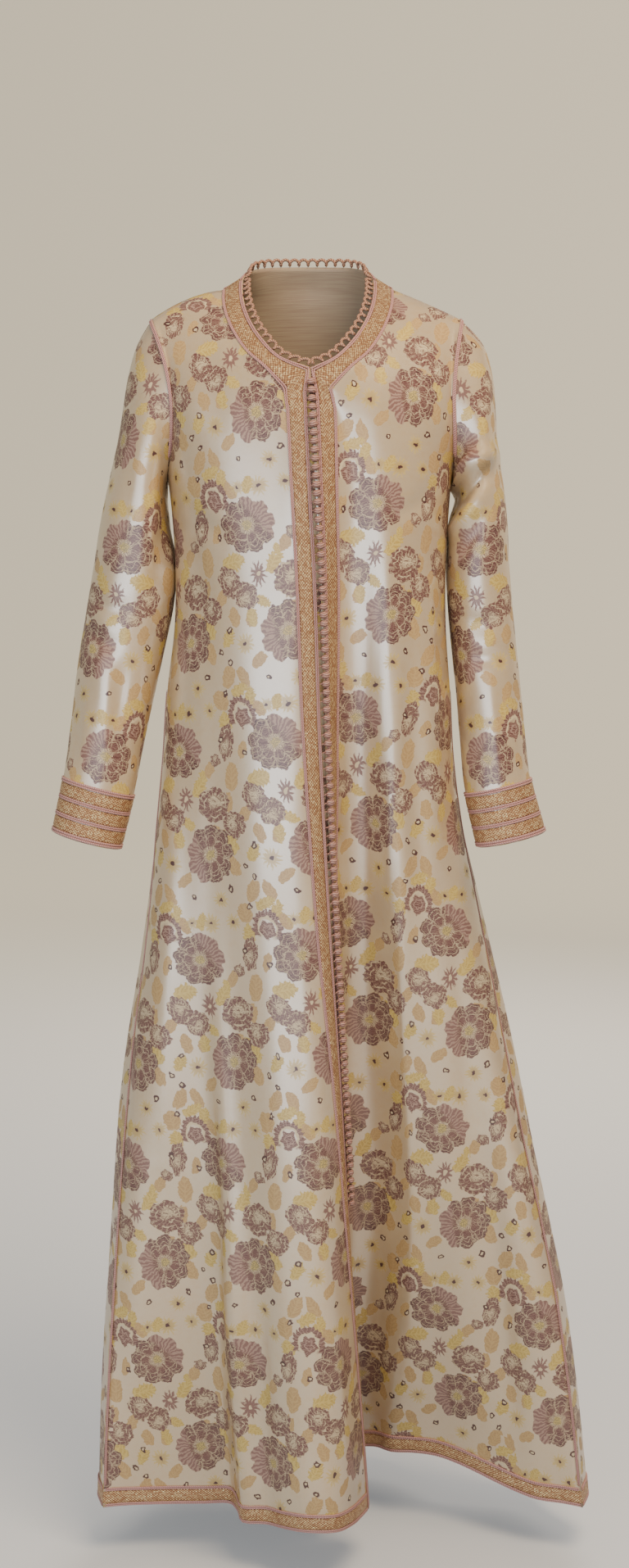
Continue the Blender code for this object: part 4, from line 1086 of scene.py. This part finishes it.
def crease_height(crease, side, points, facing):
    """How far one crease carries each point outwards, on the side of a piece that it lies on."""
    t = np.linspace(0, 1, CREASE_STEPS)[:, None]
    start, bend, end = (np.array(place) for place in (crease.starts, crease.bends, crease.ends))
    line = start * (1 - t) * (1 - 2 * t) + bend * 4 * t * (1 - t) + end * t * (2 * t - 1)
    flat = points[..., [0, 2]].reshape(-1, 2)
    best = np.full(len(flat), FAR)
    along = np.zeros(len(flat))
    beside = np.zeros(len(flat))
    for step, (a, b) in enumerate(zip(line, line[1:])):
        way = b - a
        share = np.clip(((flat - a) @ way) / (way @ way), 0, 1)
        off = flat - a - share[:, None] * way
        distance = np.hypot(off[:, 0], off[:, 1])
        nearer = distance < best
        best = np.where(nearer, distance, best)
        along = np.where(nearer, (step + share) / (CREASE_STEPS - 1), along)
        beside = np.where(nearer, way[0] * off[:, 1] - way[1] * off[:, 0], beside)
    spread = np.where(beside > 0, crease.steep, crease.gentle)
    fade = np.sin(np.clip(along, END_FADE, 1 - END_FADE) * math.pi) ** 0.7
    turned = np.clip(0.5 + 1.6 * facing.reshape(-1) * side, 0, 1)
    return (crease.rise * np.exp(-(best / spread) ** 2) * fade * turned).reshape(facing.shape)


def put_creases(name, points, flip, tube, held):
    """Carry the cloth out and in by its creases; held keeps sewn edges where they are."""
    normal = normals_of(points, flip, tube)
    height = np.zeros(points.shape[:2])
    for (piece, side), creases in CREASES.items():
        if piece == name:
            for crease in creases:
                height += crease_height(crease, side, points, normal[..., 1])
    for wave in WAVES:
        height += WAVE_HEIGHT * np.sin(points @ wave[:3] + wave.starts)
    return points + normal * (height * held)[..., None]


def normals_of(points, flip, tube=False):
    """Outward direction at every point of a grid."""
    if tube:
        across = np.roll(points, -1, axis=1) - np.roll(points, 1, axis=1)
    else:
        across = np.gradient(points, axis=1)
    normal = unit(np.cross(across, np.gradient(points, axis=0)))
    return -normal if flip else normal


def edge_hold(count, first, last, reach):
    """1 in the middle of a run of lines and 0 at its sewn ends."""
    place = np.arange(count)
    hold = np.ones(count)
    if first:
        hold = np.minimum(hold, place / reach)
    if last:
        hold = np.minimum(hold, (count - 1 - place) / reach)
    return smooth(hold)


def new_piece(name, points, faces, places, finish, replaced):
    """A mesh piece in the frame, with its pattern places, finish and the node it stands for."""
    mesh = bpy.data.meshes.new(name)
    mesh.from_pydata(np.asarray(points).tolist(), [], faces)
    layer = mesh.uv_layers.new(name="cut")
    corner = np.empty(len(mesh.loops) * 2, dtype=np.float32)
    corner[:] = np.asarray(places, dtype=np.float32).ravel()
    layer.data.foreach_set("uv", corner)
    mesh.polygons.foreach_set("use_smooth", np.ones(len(mesh.polygons), dtype=bool))
    mesh.materials.append(finish)
    mesh.validate()
    plain = name.replace("_", "-") if "_" in name else name + "-panel"
    piece = bpy.data.objects.new(plain, mesh)
    bpy.context.scene.collection.objects.link(piece)
    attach(piece, "root")
    if replaced:
        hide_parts(*replaced)
    return piece


def sheet_faces(rows, columns, tube, flip):
    """Corner indexes of a grid's faces, and the (row, column) place of every corner."""
    wide = columns - 1 if tube else columns
    i, j = np.meshgrid(np.arange(rows - 1), np.arange(columns - 1), indexing="ij")
    i, j = i.ravel(), j.ravel()
    corners = [(i, j), (i, j + 1), (i + 1, j + 1), (i + 1, j)]
    if flip:
        corners = corners[::-1]
    faces = np.stack([r * wide + (c % wide) for r, c in corners], axis=1)
    return faces.tolist(), np.stack([np.stack([r, c], axis=1) for r, c in corners], axis=1).reshape(-1, 2)


Panel = namedtuple("Panel", "points normal rows columns flip tube")
CLOTH_SHEETS = []


def sew_panel(name, fine, flip, hold_rows, hold_columns, pattern_at, grain, tube=False):
    """Build one panel of brocade and keep its flat cut in CLOTH_SHEETS.

    pattern_at is (x, z, across, up): the place (x, z) of the panel where the place
    (across, up) of the repeat comes to lie.  grain is 1 on a front and -1 on the back.
    """
    points, flat, row_marks, column_marks = fine
    if tube:
        points = points[:, :-1]
    held = edge_hold(points.shape[0], *hold_rows)[:, None] * edge_hold(points.shape[1], *hold_columns)[None]
    points = put_creases(name, points, flip, tube, held)
    x, z, across, up = pattern_at
    forward = points[..., 1] if grain > 0 else -points[..., 1]
    off = np.abs(points[..., 0] - x) + np.abs(points[..., 2] - z) + np.clip(forward, 0, None) * 4
    here = np.unravel_index(off.argmin(), off.shape)
    places = flat - flat[here] + [across, up]
    rows, columns = points.shape[:2]
    faces, corners = sheet_faces(rows, columns + (1 if tube else 0), tube, flip)
    piece = new_piece(name, points.reshape(-1, 3), faces, places[corners[:, 0], corners[:, 1]],
                      brocades[0], [name])
    for finish in [*brocades[1:], wrong_side]:
        piece.data.materials.append(finish)
    charts, finish = chart(places[corners[:, 0], corners[:, 1]])
    piece.data.polygons.foreach_set("material_index", finish)
    for kind, local in charts.items():
        layer = piece.data.attributes.new(kind, "FLOAT_VECTOR", "CORNER")
        layer.data.foreach_set("vector", local.ravel())
    wall = piece.modifiers.new("wall", "SOLIDIFY")
    wall.thickness = CLOTH
    wall.offset = -1.0
    wall.material_offset = len(brocades)      # the last finish, whatever the face's own
    wall.material_offset_rim = len(brocades)
    CLOTH_SHEETS.append((piece, flat))
    return Panel(points, normals_of(points, flip, tube), row_marks, column_marks, flip, tube)


def flat_area(flat):
    """Area of a flat cut from its grid."""
    a, b = flat[1:, 1:] - flat[:-1, :-1], flat[1:, :-1] - flat[:-1, 1:]
    return float(np.abs(a[..., 0] * b[..., 1] - a[..., 1] * b[..., 0]).sum() / 2)


# ---------------------------------------------------------------- panels
front_right = front_grid("right")
front_left = front_grid("left")
back_panel = back_grid()


def armhole_loop(front, back, at):
    """Shared armhole, from the underarm up the front and down the back."""
    rows = slice(SKIRT_ROWS, SKIRT_ROWS + ARMHOLE_ROWS + 1)
    return np.concatenate([front[rows, 0], back[rows, at][::-1][1:-1]])


sleeves = {"right": sleeve_grid("right", armhole_loop(front_right, back_panel, 0)),
           "left": sleeve_grid("left", armhole_loop(front_left, back_panel, -1))}
body_knots = spacing(back_panel, 0)
TOP = SKIRT_ROWS + ARMHOLE_ROWS
FOOT = SKIRT_ROWS + V_ROW


# How far the right front's fold is carried over its own edge, by height.
CARRY_HEIGHTS = (-1.45, -1.25, -1.10, -1.00, -0.70, -0.45)
CARRY = (0.014, 0.010, 0.0075, 0.006, 0.003, 0.0)
CARRY_COLUMNS = 21      # how far beside the band the fold reaches
EASED_ROWS = 10         # rows of a sleeve's head that are eased onto the armhole


def carry_over(points, crest):
    """Carry the fold beside the front edge sideways, so that its band turns in towards the hem."""
    column = np.arange(points.shape[1]) - crest
    beside = np.clip(1 + column / CARRY_COLUMNS, 0, 1)
    beyond = np.cos(column / column[-1] * math.pi / 2)
    share = np.where(column > 0, beyond, smooth(beside))
    points[..., 0] += np.interp(points[..., 2], CARRY_HEIGHTS, CARRY) * share
    return points


def fine_front(side, grid, across_sign):
    flat = stand_upright(lay_flat(grid, across_sign, 1), FRONT_COLUMNS, 0, FOOT)
    corners = [(SKIRT_ROWS, 0), (FOOT, FRONT_COLUMNS - 1), (FOOT, FRONT_COLUMNS)]
    points, *rest = finer(grid, flat, body_knots[:TOP + 1], spacing(grid, 1), corners)
    if side == "right":
        points = carry_over(points, rest[2][FRONT_COLUMNS - 1])
    return points, *rest


def fine_back(grid):
    middle = BACK_COLUMNS // 2
    flat = stand_upright(lay_flat(grid, -1, 1), middle, 0, len(grid) - 1)
    turns = (SKIRT_ROWS, TOP, TOP + SHOULDER_ROWS - 1)
    corners = [(row, column) for row in turns for column in (0, BACK_COLUMNS)]
    return finer(grid, flat, body_knots, spacing(grid, 1), corners)


def fine_sleeve(grid, across_sign, armhole):
    """The sleeve with its head eased onto the armhole, given by coarse place and point."""
    opened = np.concatenate([grid, grid[:, :1]], axis=1)
    flat = stand_upright(lay_flat(opened, across_sign, -1), SLEEVE_COLUMNS // 2, 0, len(grid) - 1)
    turns = [(0, 0), (SLEEVE_COLUMNS // 2, 0), (SLEEVE_COLUMNS, 0)]
    points, flat, rows, columns = finer(grid, flat, spacing(grid, 0), spacing(opened, 1), (), turns, True)
    place = np.interp(np.arange(points.shape[1]), columns, np.arange(SLEEVE_COLUMNS + 1))
    shift = np.stack([np.interp(place, armhole[0], armhole[1][:, k]) for k in range(3)], axis=1) - points[0]
    fade = np.clip(1 - np.arange(len(points)) / EASED_ROWS, 0, 1)[:, None, None]
    return points + shift * fade, flat, rows, columns


def fine_armhole(front, back, at):
    """The sewn armhole's fine points and their coarse places round the sleeve."""
    rows = slice(front.rows[SKIRT_ROWS], front.rows[TOP] + 1)
    place = np.interp(np.arange(rows.start, rows.stop), front.rows, np.arange(TOP + 1)) - SKIRT_ROWS
    line = np.concatenate([front.points[rows, 0], back.points[rows, at][::-1][1:]])
    return np.concatenate([place, 2 * ARMHOLE_ROWS - place[::-1][1:]]), line


# Which ends of a panel's rows and columns are sewn, and over how many lines the
# creases grow from there.
BODY_SEAMS = ((False, True, 8), (True, True, 7))
SLEEVE_SEAMS = ((True, False, 9), (False, False, 1))
right = sew_panel("front_right", fine_front("right", front_right, 1), False,
                  *BODY_SEAMS, (-0.0645, -0.2523, 0.0, 0.0), 1)
left = sew_panel("front_left", fine_front("left", front_left, -1), True,
                 *BODY_SEAMS, (0.0796, -0.2289, 0.0, 0.0), 1)
back = sew_panel("back", fine_back(back_panel), True,
                 *BODY_SEAMS, (0.0, -0.2400, 0.020, 0.030), -1)
arm_right = sew_panel("sleeve_right", fine_sleeve(sleeves["right"], 1, fine_armhole(right, back, 0)), False,
                      *SLEEVE_SEAMS, (-0.2050, -0.2784, 0.0, 0.0), 1, True)
arm_left = sew_panel("sleeve_left", fine_sleeve(sleeves["left"], -1, fine_armhole(left, back, -1)), True,
                     *SLEEVE_SEAMS, (0.1932, -0.2784, 0.0, 0.0), 1, True)


# ---------------------------------------------------------------- trims
Strip = namedtuple("Strip", "points normals")   # (along, across, 3) of the cloth beneath a trim
Part = namedtuple("Part", "points faces places")
BRAID_SECTION = [(0.0, 0.0), (0.025, 0.75), (0.12, 1.0), (0.5, 1.1), (0.88, 1.0), (0.975, 0.75), (1.0, 0.0)]
BRAID_RISE = 0.0012
SEWN_ON = 0.0002        # clear height under a trim
CORD_SEAT = 0.8         # height of a cord's middle, in its half thicknesses
END_SIZE = 0.05         # a cord's end tapers to this share of its thickness


def strip_of(panel, rows, columns, upright=False, closed=False):
    """The cloth between marked lines of a panel, with the trim's run as its first axis."""
    rows = slice(panel.rows[rows[0]], panel.rows[rows[1]] + 1)
    columns = slice(panel.columns[columns[0]], panel.columns[columns[1]] + (0 if closed else 1))
    points, normals = panel.points[rows, columns], panel.normal[rows, columns]
    if not upright:
        points, normals = points.transpose(1, 0, 2), normals.transpose(1, 0, 2)
    if closed:
        points, normals = (np.concatenate([lines, lines[:1]]) for lines in (points, normals))
    return Strip(points, normals)


def on_strip(strip, share):
    """Points and outward directions at a share of the way across a strip."""
    place = np.clip(share, 0, 1) * (strip.points.shape[1] - 1)
    first = np.minimum(place.astype(int), strip.points.shape[1] - 2)
    line = np.arange(len(strip.points))
    part = (place - first)[:, None]
    return tuple(grid[line, first] * (1 - part) + grid[line, first + 1] * part for grid in strip)


def grid_part(points, places, outward):
    """A grid of points as a part whose faces look outward."""
    across = points[:, 1:] - points[:, :-1]
    along = points[1:] - points[:-1]
    facing = np.cross(across[:-1], along[:, :-1])
    away = outward[:-1, None] if outward.ndim == 2 else outward[:-1, :-1]
    flip = (facing * away).sum() < 0
    faces, corners = sheet_faces(points.shape[0], points.shape[1], False, flip)
    return Part(points.reshape(-1, 3), faces, places[corners[:, 0], corners[:, 1]])


def breadth(strip):
    """How wide a strip is at every point along it."""
    return np.linalg.norm(strip.points[:, -1] - strip.points[:, 0], axis=1)


def width_between(strip, start, stop):
    """Mean width between two shares of a strip."""
    return np.linalg.norm(on_strip(strip, stop)[0] - on_strip(strip, start)[0], axis=1).mean()


def braid_part(strip, start, stop):
    """A crowned flat braid between two shares of a strip."""
    middle, normal = on_strip(strip, (start + stop) / 2)
    run = run_of(middle)
    ends = np.ones(len(run))
    ends[[0, -1]] = 0.0
    width = width_between(strip, start, stop)
    lines, places = [], []
    for share, rise in BRAID_SECTION:
        line, _ = on_strip(strip, start + (stop - start) * share)
        lines.append(line + normal * (SEWN_ON + BRAID_RISE * rise * ends)[:, None])
        places.append(np.stack([run, np.full(len(run), share * width)], axis=1))
    return grid_part(np.stack(lines, axis=1), np.stack(places, axis=1), normal)


def cord_part(line, outward, radius, sides=8):
    """A round cord along a line; its finish twists by distance along and share round it."""
    along = unit(np.gradient(line, axis=0))
    side = unit(np.cross(along, outward))
    up = np.cross(side, along)
    turn = np.linspace(-math.pi / 2, 1.5 * math.pi, sides + 1)
    reach = side[:, None] * np.cos(turn)[None, :, None] + up[:, None] * np.sin(turn)[None, :, None]
    thick = np.full(len(line), radius)
    thick[[0, -1]] = radius * END_SIZE
    points = line[:, None] + reach * thick[:, None, None]
    run = run_of(line)
    places = np.stack(np.broadcast_arrays(run[:, None], np.linspace(0, ROUND_CUT, sides + 1)[None]), axis=-1)
    return grid_part(points, places, reach)


def denser(line, outward, step):
    """A line and its outward directions at even small steps."""
    whole = run_of(line)[-1]
    at = np.linspace(0, whole, max(3, round(whole / step)) + 1)
    read = evenly(np.concatenate([line, outward], axis=1), at)
    return read[:, :3], unit(read[:, 3:])


def twin_part(strip, start, stop, count=2, step=0.005):
    """Fine cords laid side by side between two shares of a strip."""
    width = width_between(strip, start, stop)
    radius = width / count / 2
    parts = []
    for number in range(count):
        share = start + (stop - start) * (number + 0.5) / count
        line, normal = on_strip(strip, share)
        line, normal = denser(line + normal * radius * CORD_SEAT, normal, step)
        parts.append(cord_part(line, normal, radius))
    return parts


def joined(name, parts, finish, replaced):
    """Make several parts into one piece."""
    points, faces, places, base = [], [], [], 0
    for part in parts:
        points.append(part.points)
        faces += [[corner + base for corner in face] for face in part.faces]
        places.append(part.places)
        base += len(part.points)
    return new_piece(name, np.concatenate(points), faces, np.concatenate(places), finish, replaced)


def trim(name, strip, start, stop, extra=()):
    """One braid or pair of cords, standing for the solid of the same name."""
    if "braid" in name:
        return joined(name, [braid_part(strip, start, stop), *extra], braid_gold, [name])
    return joined(name, [*twin_part(strip, start, stop), *extra], cord_rose, [name])


LOOP_SWING = 0.21       # how far a loop leans over its foot, as a share of the pitch
LOOP_SIDES = 7


def along_edge(line, outward, beyond, pitch, height, radius, steps=10):
    """A looped cord that runs along an edge and stands beyond it."""
    whole = run_of(line)[-1]
    loops = max(1, int(whole / pitch))
    at = np.linspace(radius * 3, whole - radius * 3, loops * steps + 1)
    turn = np.linspace(0, 2 * math.pi * loops, loops * steps + 1)
    read = evenly(np.concatenate([line, outward, beyond], axis=1), at - LOOP_SWING * pitch * np.sin(turn))
    rise = radius + height * (0.5 - 0.5 * np.cos(turn))
    path = read[:, :3] + unit(read[:, 6:]) * rise[:, None]
    return cord_part(path, unit(read[:, 3:6]), radius, LOOP_SIDES)


def front_shares(panel, near, beside):
    """Share across the front strip at every row: near the buttons, then beside the neck."""
    row = np.arange(panel.points.shape[0])
    turn = np.clip((row - panel.rows[FOOT - 1]) / (panel.rows[FOOT] - panel.rows[FOOT - 1]), 0, 1)
    return 1 - (near * (1 - turn) + beside * turn)


# looped cords along an edge: pitch, height and half the thickness
EDGE_LOOPS = (0.0088, 0.0016, 0.0009)
PICOT = (0.0112, 0.0072, 0.0018)
# from the seam to the near and the far side of its cord
ARMHOLE_CORD = (0.0003, 0.0050)
SIDE_CORD = (0.0004, 0.0034)


def front_trims(side, panel):
    strip = strip_of(panel, (0, TOP), (FRONT_COLUMNS - 1, FRONT_COLUMNS), upright=True)
    open_rows = strip.points[:, -1, 2] < LAST_KNOT + 0.002
    edge, normal = strip.points[open_rows, -1], strip.normals[open_rows, -1]
    beyond = unit(edge - strip.points[open_rows, -2])
    loops = [along_edge(edge + normal * 0.0006, normal, beyond, *EDGE_LOOPS)]
    for label, near_a, near_b, neck_a, neck_b in FRONT_LINES:
        extra = loops if label == "cord_inner" else ()
        start, stop = front_shares(panel, near_b, neck_b), front_shares(panel, near_a, neck_a)
        trim(f"front_{label}_{side}", strip, start, stop, extra)


def hem_trims(name, panel, last):
    strip = strip_of(panel, (0, 1), (0, last))
    height = breadth(strip)
    for label, start, end in HEM_LINES:
        trim(f"hem_{label}_{name}", strip, start / height, end / height)


def cuff_trims(side, panel):
    rows = len(panel.rows) - 1
    strip = strip_of(panel, (rows - 1, rows), (0, SLEEVE_COLUMNS), closed=True)
    height = breadth(strip)
    for label, start, end in CUFF_LINES:
        trim(f"cuff_{label}_{side}", strip, 1 - end / height, 1 - start / height)


def picot_edging(name, strip):
    """Loops that stand beyond the last line of a strip."""
    edge, normal = strip.points[:, -1], strip.normals[:, -1]
    beyond = unit(edge - strip.points[:, -3])
    joined(name, [along_edge(edge, normal, beyond, *PICOT)], cord_edge, [name])


def seam_cord(name, strip, start, stop):
    """A cord laid on one side of a seam, between two distances from it."""
    trim(name, strip, start / breadth(strip), stop / breadth(strip))


for side, panel in (("right", right), ("left", left)):
    front_trims(side, panel)
    hem_trims(side, panel, FRONT_COLUMNS - 1)
    seam_cord(f"side_cord_{side}", strip_of(panel, (1, SIDE_CORD_ROWS - 1), (0, 1), upright=True), *SIDE_CORD)
hem_trims("back", back, BACK_COLUMNS)
for side, panel in (("right", arm_right), ("left", arm_left)):
    cuff_trims(side, panel)
    seam_cord(f"armhole_cord_{side}", strip_of(panel, (0, 1), (2, SLEEVE_COLUMNS - 2)), *ARMHOLE_CORD)
last_row = len(back.rows) - 1
neck_strip = strip_of(back, (last_row - 1, last_row), (0, BACK_COLUMNS))
for label, _, _, neck_a, neck_b in FRONT_LINES:
    whole = np.ones(len(neck_strip.points))
    trim(f"back_neck_{label}", neck_strip, whole * (1 - neck_b), whole * (1 - neck_a))

# the looped edging round the neck, in three lengths
for side, panel in (("right", right), ("left", left)):
    strip = strip_of(panel, (FOOT, TOP), (FRONT_COLUMNS - 1, FRONT_COLUMNS), upright=True)
    picot_edging(f"picot_{side}", strip)
picot_edging("picot_back", neck_strip)


# ---------------------------------------------------------------- knot buttons
KNOT_PITCH = 0.0095
KNOT_RADIUS = 0.0043
KNOT_STANDS = 0.0008    # how far a knot stands off the closing
STRANDS = 8
PLAIT = (0.0008, 0.0034)    # the faces of the plait's turns lie between these heights
BOW_REACH = 0.0066      # the loop that holds a knot: its half width, how far behind the
BOW_DEEP = 0.0025       # knot it lies, how much farther at its ends, its sag and its
BOW_CURVE = 0.0012      # half thickness
BOW_SAG = 0.0008
BOW_WIRE = 0.0011
BOW_POINTS = 7


def model_knot():
    """One knot, its points, faces and places on its cut."""
    bpy.ops.object.select_all(action="DESELECT")
    bpy.ops.mesh.primitive_uv_sphere_add(segments=10, ring_count=6, radius=KNOT_RADIUS)
    knot = bpy.context.active_object
    bpy.ops.object.mode_set(mode="EDIT")
    bpy.ops.mesh.select_all(action="SELECT")
    bpy.ops.transform.resize(value=(1.05, 0.92, 0.94), center_override=(0, 0, 0))
    bpy.ops.mesh.select_all(action="DESELECT")
    bpy.ops.object.mode_set(mode="OBJECT")
    for face in knot.data.polygons:
        face.select = PLAIT[0] < abs(face.center.z) < PLAIT[1]
    bpy.ops.object.mode_set(mode="EDIT")
    bpy.ops.mesh.inset(thickness=0.00025, depth=0.0003)
    bpy.ops.object.mode_set(mode="OBJECT")
    mesh = knot.data
    bpy.data.objects.remove(knot)
    return Part(np.array([vertex.co[:] for vertex in mesh.vertices]),
                [list(face.vertices) for face in mesh.polygons],
                np.array([loop.uv[:] for loop in mesh.uv_layers.active.data]) * ROUND_CUT)


def knot_row():
    """Where the knots lie down the closing, with their outward directions."""
    closing = slice(0, right.rows[FOOT] + 1)
    line = ((right.points[closing, -1] + left.points[closing, -1]) / 2)[::-1]
    facing = unit(right.normal[closing, -1] + left.normal[closing, -1])[::-1]
    line = line + facing * (KNOT_RADIUS + KNOT_STANDS)
    at = np.arange(FIRST_KNOT + KNOT_PITCH / 2, run_of(line)[-1], KNOT_PITCH)
    read = evenly(np.concatenate([line, facing], axis=1), at)
    read = read[read[:, 2] > LAST_KNOT + KNOT_PITCH / 2]
    return read[:, :3], unit(read[:, 3:])


knot = model_knot()
knot_places, out = knot_row()
down = unit(np.gradient(knot_places, axis=0))
aside = unit(np.cross(down, out))
reach = np.linspace(-1, 1, BOW_POINTS)[:, None]
per_strand = math.ceil(len(knot_places) / STRANDS)
for strand in range(STRANDS):
    parts = []
    for index in range(strand * per_strand, min(len(knot_places), (strand + 1) * per_strand)):
        axes = np.array([aside[index], out[index], -down[index]])
        lean = 0.12 * math.sin(index * 2.3)     # no two knots are pulled quite alike
        size = 1 + 0.03 * math.sin(index * 1.7)
        spin = np.array(Matrix.Rotation(lean, 3, "Y"))
        parts.append(knot._replace(points=(knot.points * size) @ spin @ axes + knot_places[index]))
        bow = knot_places[index] + aside[index] * reach * BOW_REACH
        bow = bow - out[index] * (BOW_DEEP + BOW_CURVE * reach ** 2)
        bow = bow + down[index] * BOW_SAG * np.cos(reach * 1.6 + index)
        parts.append(cord_part(bow, np.repeat(out[index][None], BOW_POINTS, axis=0), BOW_WIRE, 6))
    name = f"buttons_{strand + 1}"
    joined(name, parts, silk_knot, [name])


# ---------------------------------------------------------------- sheets
for piece, flat in CLOTH_SHEETS:
    flat_area(flat)


# ---------------------------------------------------------------- room
FLOOR = -1.482
FLOOR_REACH = 7.5       # how far the floor runs before it curves up
CURVE = 1.5             # radius of that curve
WALL_TOP = 5.0          # above the floor
ROOM_SIDES = 96


def make_room():
    """A pale floor that curves up all round into a pale wall, all of it glowing with painted light: in front,
    a bright painted window low down, which the satin shows as its reflection; behind, a wall lighter towards
    +X over a floor that is grey near the garment.
    """
    profile = [(0.0, 0.0), (FLOOR_REACH, 0.0)]
    profile += [(FLOOR_REACH + CURVE * math.sin(t), CURVE - CURVE * math.cos(t))
                for t in np.linspace(0.1, math.pi / 2, 12)]
    profile += [(FLOOR_REACH + CURVE, WALL_TOP)]
    turn = np.linspace(0, 2 * math.pi, ROOM_SIDES + 1)[:-1]
    points = [(r * math.cos(a), r * math.sin(a), FLOOR + up) for r, up in profile for a in turn]
    faces = [(i * ROOM_SIDES + j, i * ROOM_SIDES + (j + 1) % ROOM_SIDES,
              (i + 1) * ROOM_SIDES + (j + 1) % ROOM_SIDES, (i + 1) * ROOM_SIDES + j)
             for i in range(len(profile) - 1) for j in range(ROOM_SIDES)]
    mesh = bpy.data.meshes.new("room")
    mesh.from_pydata(points, [], faces)
    mesh.polygons.foreach_set("use_smooth", np.ones(len(faces), dtype=bool))
    dye = Dye("pale paper", Base_Color=shade(206, 200, 192), Roughness=0.85, Emission_Strength=1.0)
    place = dye.add("ShaderNodeTexCoord", {}, {}, 3)
    across, deep, high = dye.parts(place, 3)
    # painted glow behind: the wall lighter towards +X, the floor grey near the garment and like the wall far
    # back
    wall = dye.mix(dye.rise(across, -4.0, 4.0), shade(194, 180, 146), shade(228, 208, 172))
    glow = dye.mix(dye.rise(deep, 0.0, 6.0), shade(110, 114, 118), wall)
    # painted window in front: a bright glowing panel low down, cool on the left and warm on the right, that
    # the satin shows as its reflection; dark above it and to the sides
    panel = dye.mix(dye.rise(across, -3.0, 3.0), shade(204, 212, 224), shade(212, 202, 194))
    lit = dye.rise(deep, -0.4, -2.0) * dye.rise(dye.away(across), 4.0, 2.0)
    front = dye.mix(lit * dye.rise(high, 1.4, 0.0), shade(92, 84, 72), panel)
    # the room's glow is painted light: the window in front, the wall and floor behind
    dye.feed(Emission_Color=dye.mix(dye.rise(deep, -1.2, -0.1), front, glow))
    dye.material.cycles.emission_sampling = "NONE"
    mesh.materials.append(dye.material)
    room = bpy.data.objects.new("room", mesh)
    bpy.context.scene.collection.objects.link(room)
    return room


room = make_room()
room.visible_diffuse = False


def lamp(name, place, aim, size, power, colour):
    light = bpy.data.lights.new(name, "AREA")
    light.shape = "RECTANGLE"
    light.size, light.size_y = size
    light.energy = power
    light.color = colour
    holder = bpy.data.objects.new(name, light)
    bpy.context.scene.collection.objects.link(holder)
    holder.location = place
    holder.visible_camera = False
    holder.rotation_euler = (Vector(aim) - Vector(place)).to_track_quat("-Z", "Y").to_euler()
    return holder


lamp("low window", (-1.2, -3.0, -0.65), (0, 0, -0.75), (3.2, 1.9), 74, (0.80, 0.90, 1.0))
ceiling = lamp("ceiling", (0.8, -1.3, 1.7), (0.05, -0.1, -0.55), (1.4, 1.4), 90, (1.0, 0.87, 0.68))
behind = lamp("back light", (0.9, 3.0, 1.0), (0, 0.1, -0.7), (2.2, 1.6), 84, (1.0, 0.96, 0.90))
for light in (ceiling, behind):
    light.visible_glossy = False
world = bpy.data.worlds.new("room light")
world.use_nodes = True
world.node_tree.nodes["Background"].inputs["Color"].default_value = (0.94, 0.96, 1.0, 1)
world.node_tree.nodes["Background"].inputs["Strength"].default_value = 0.30
bpy.context.scene.world = world

eye = bpy.data.cameras.new("camera")
eye.lens = 50
eye.sensor_width = 36
camera = bpy.data.objects.new("camera", eye)
bpy.context.scene.collection.objects.link(camera)
camera.location = (0.0075, -2.52, -0.307)
camera.rotation_euler = (math.radians(84.5), 0, 0)
bpy.context.scene.camera = camera
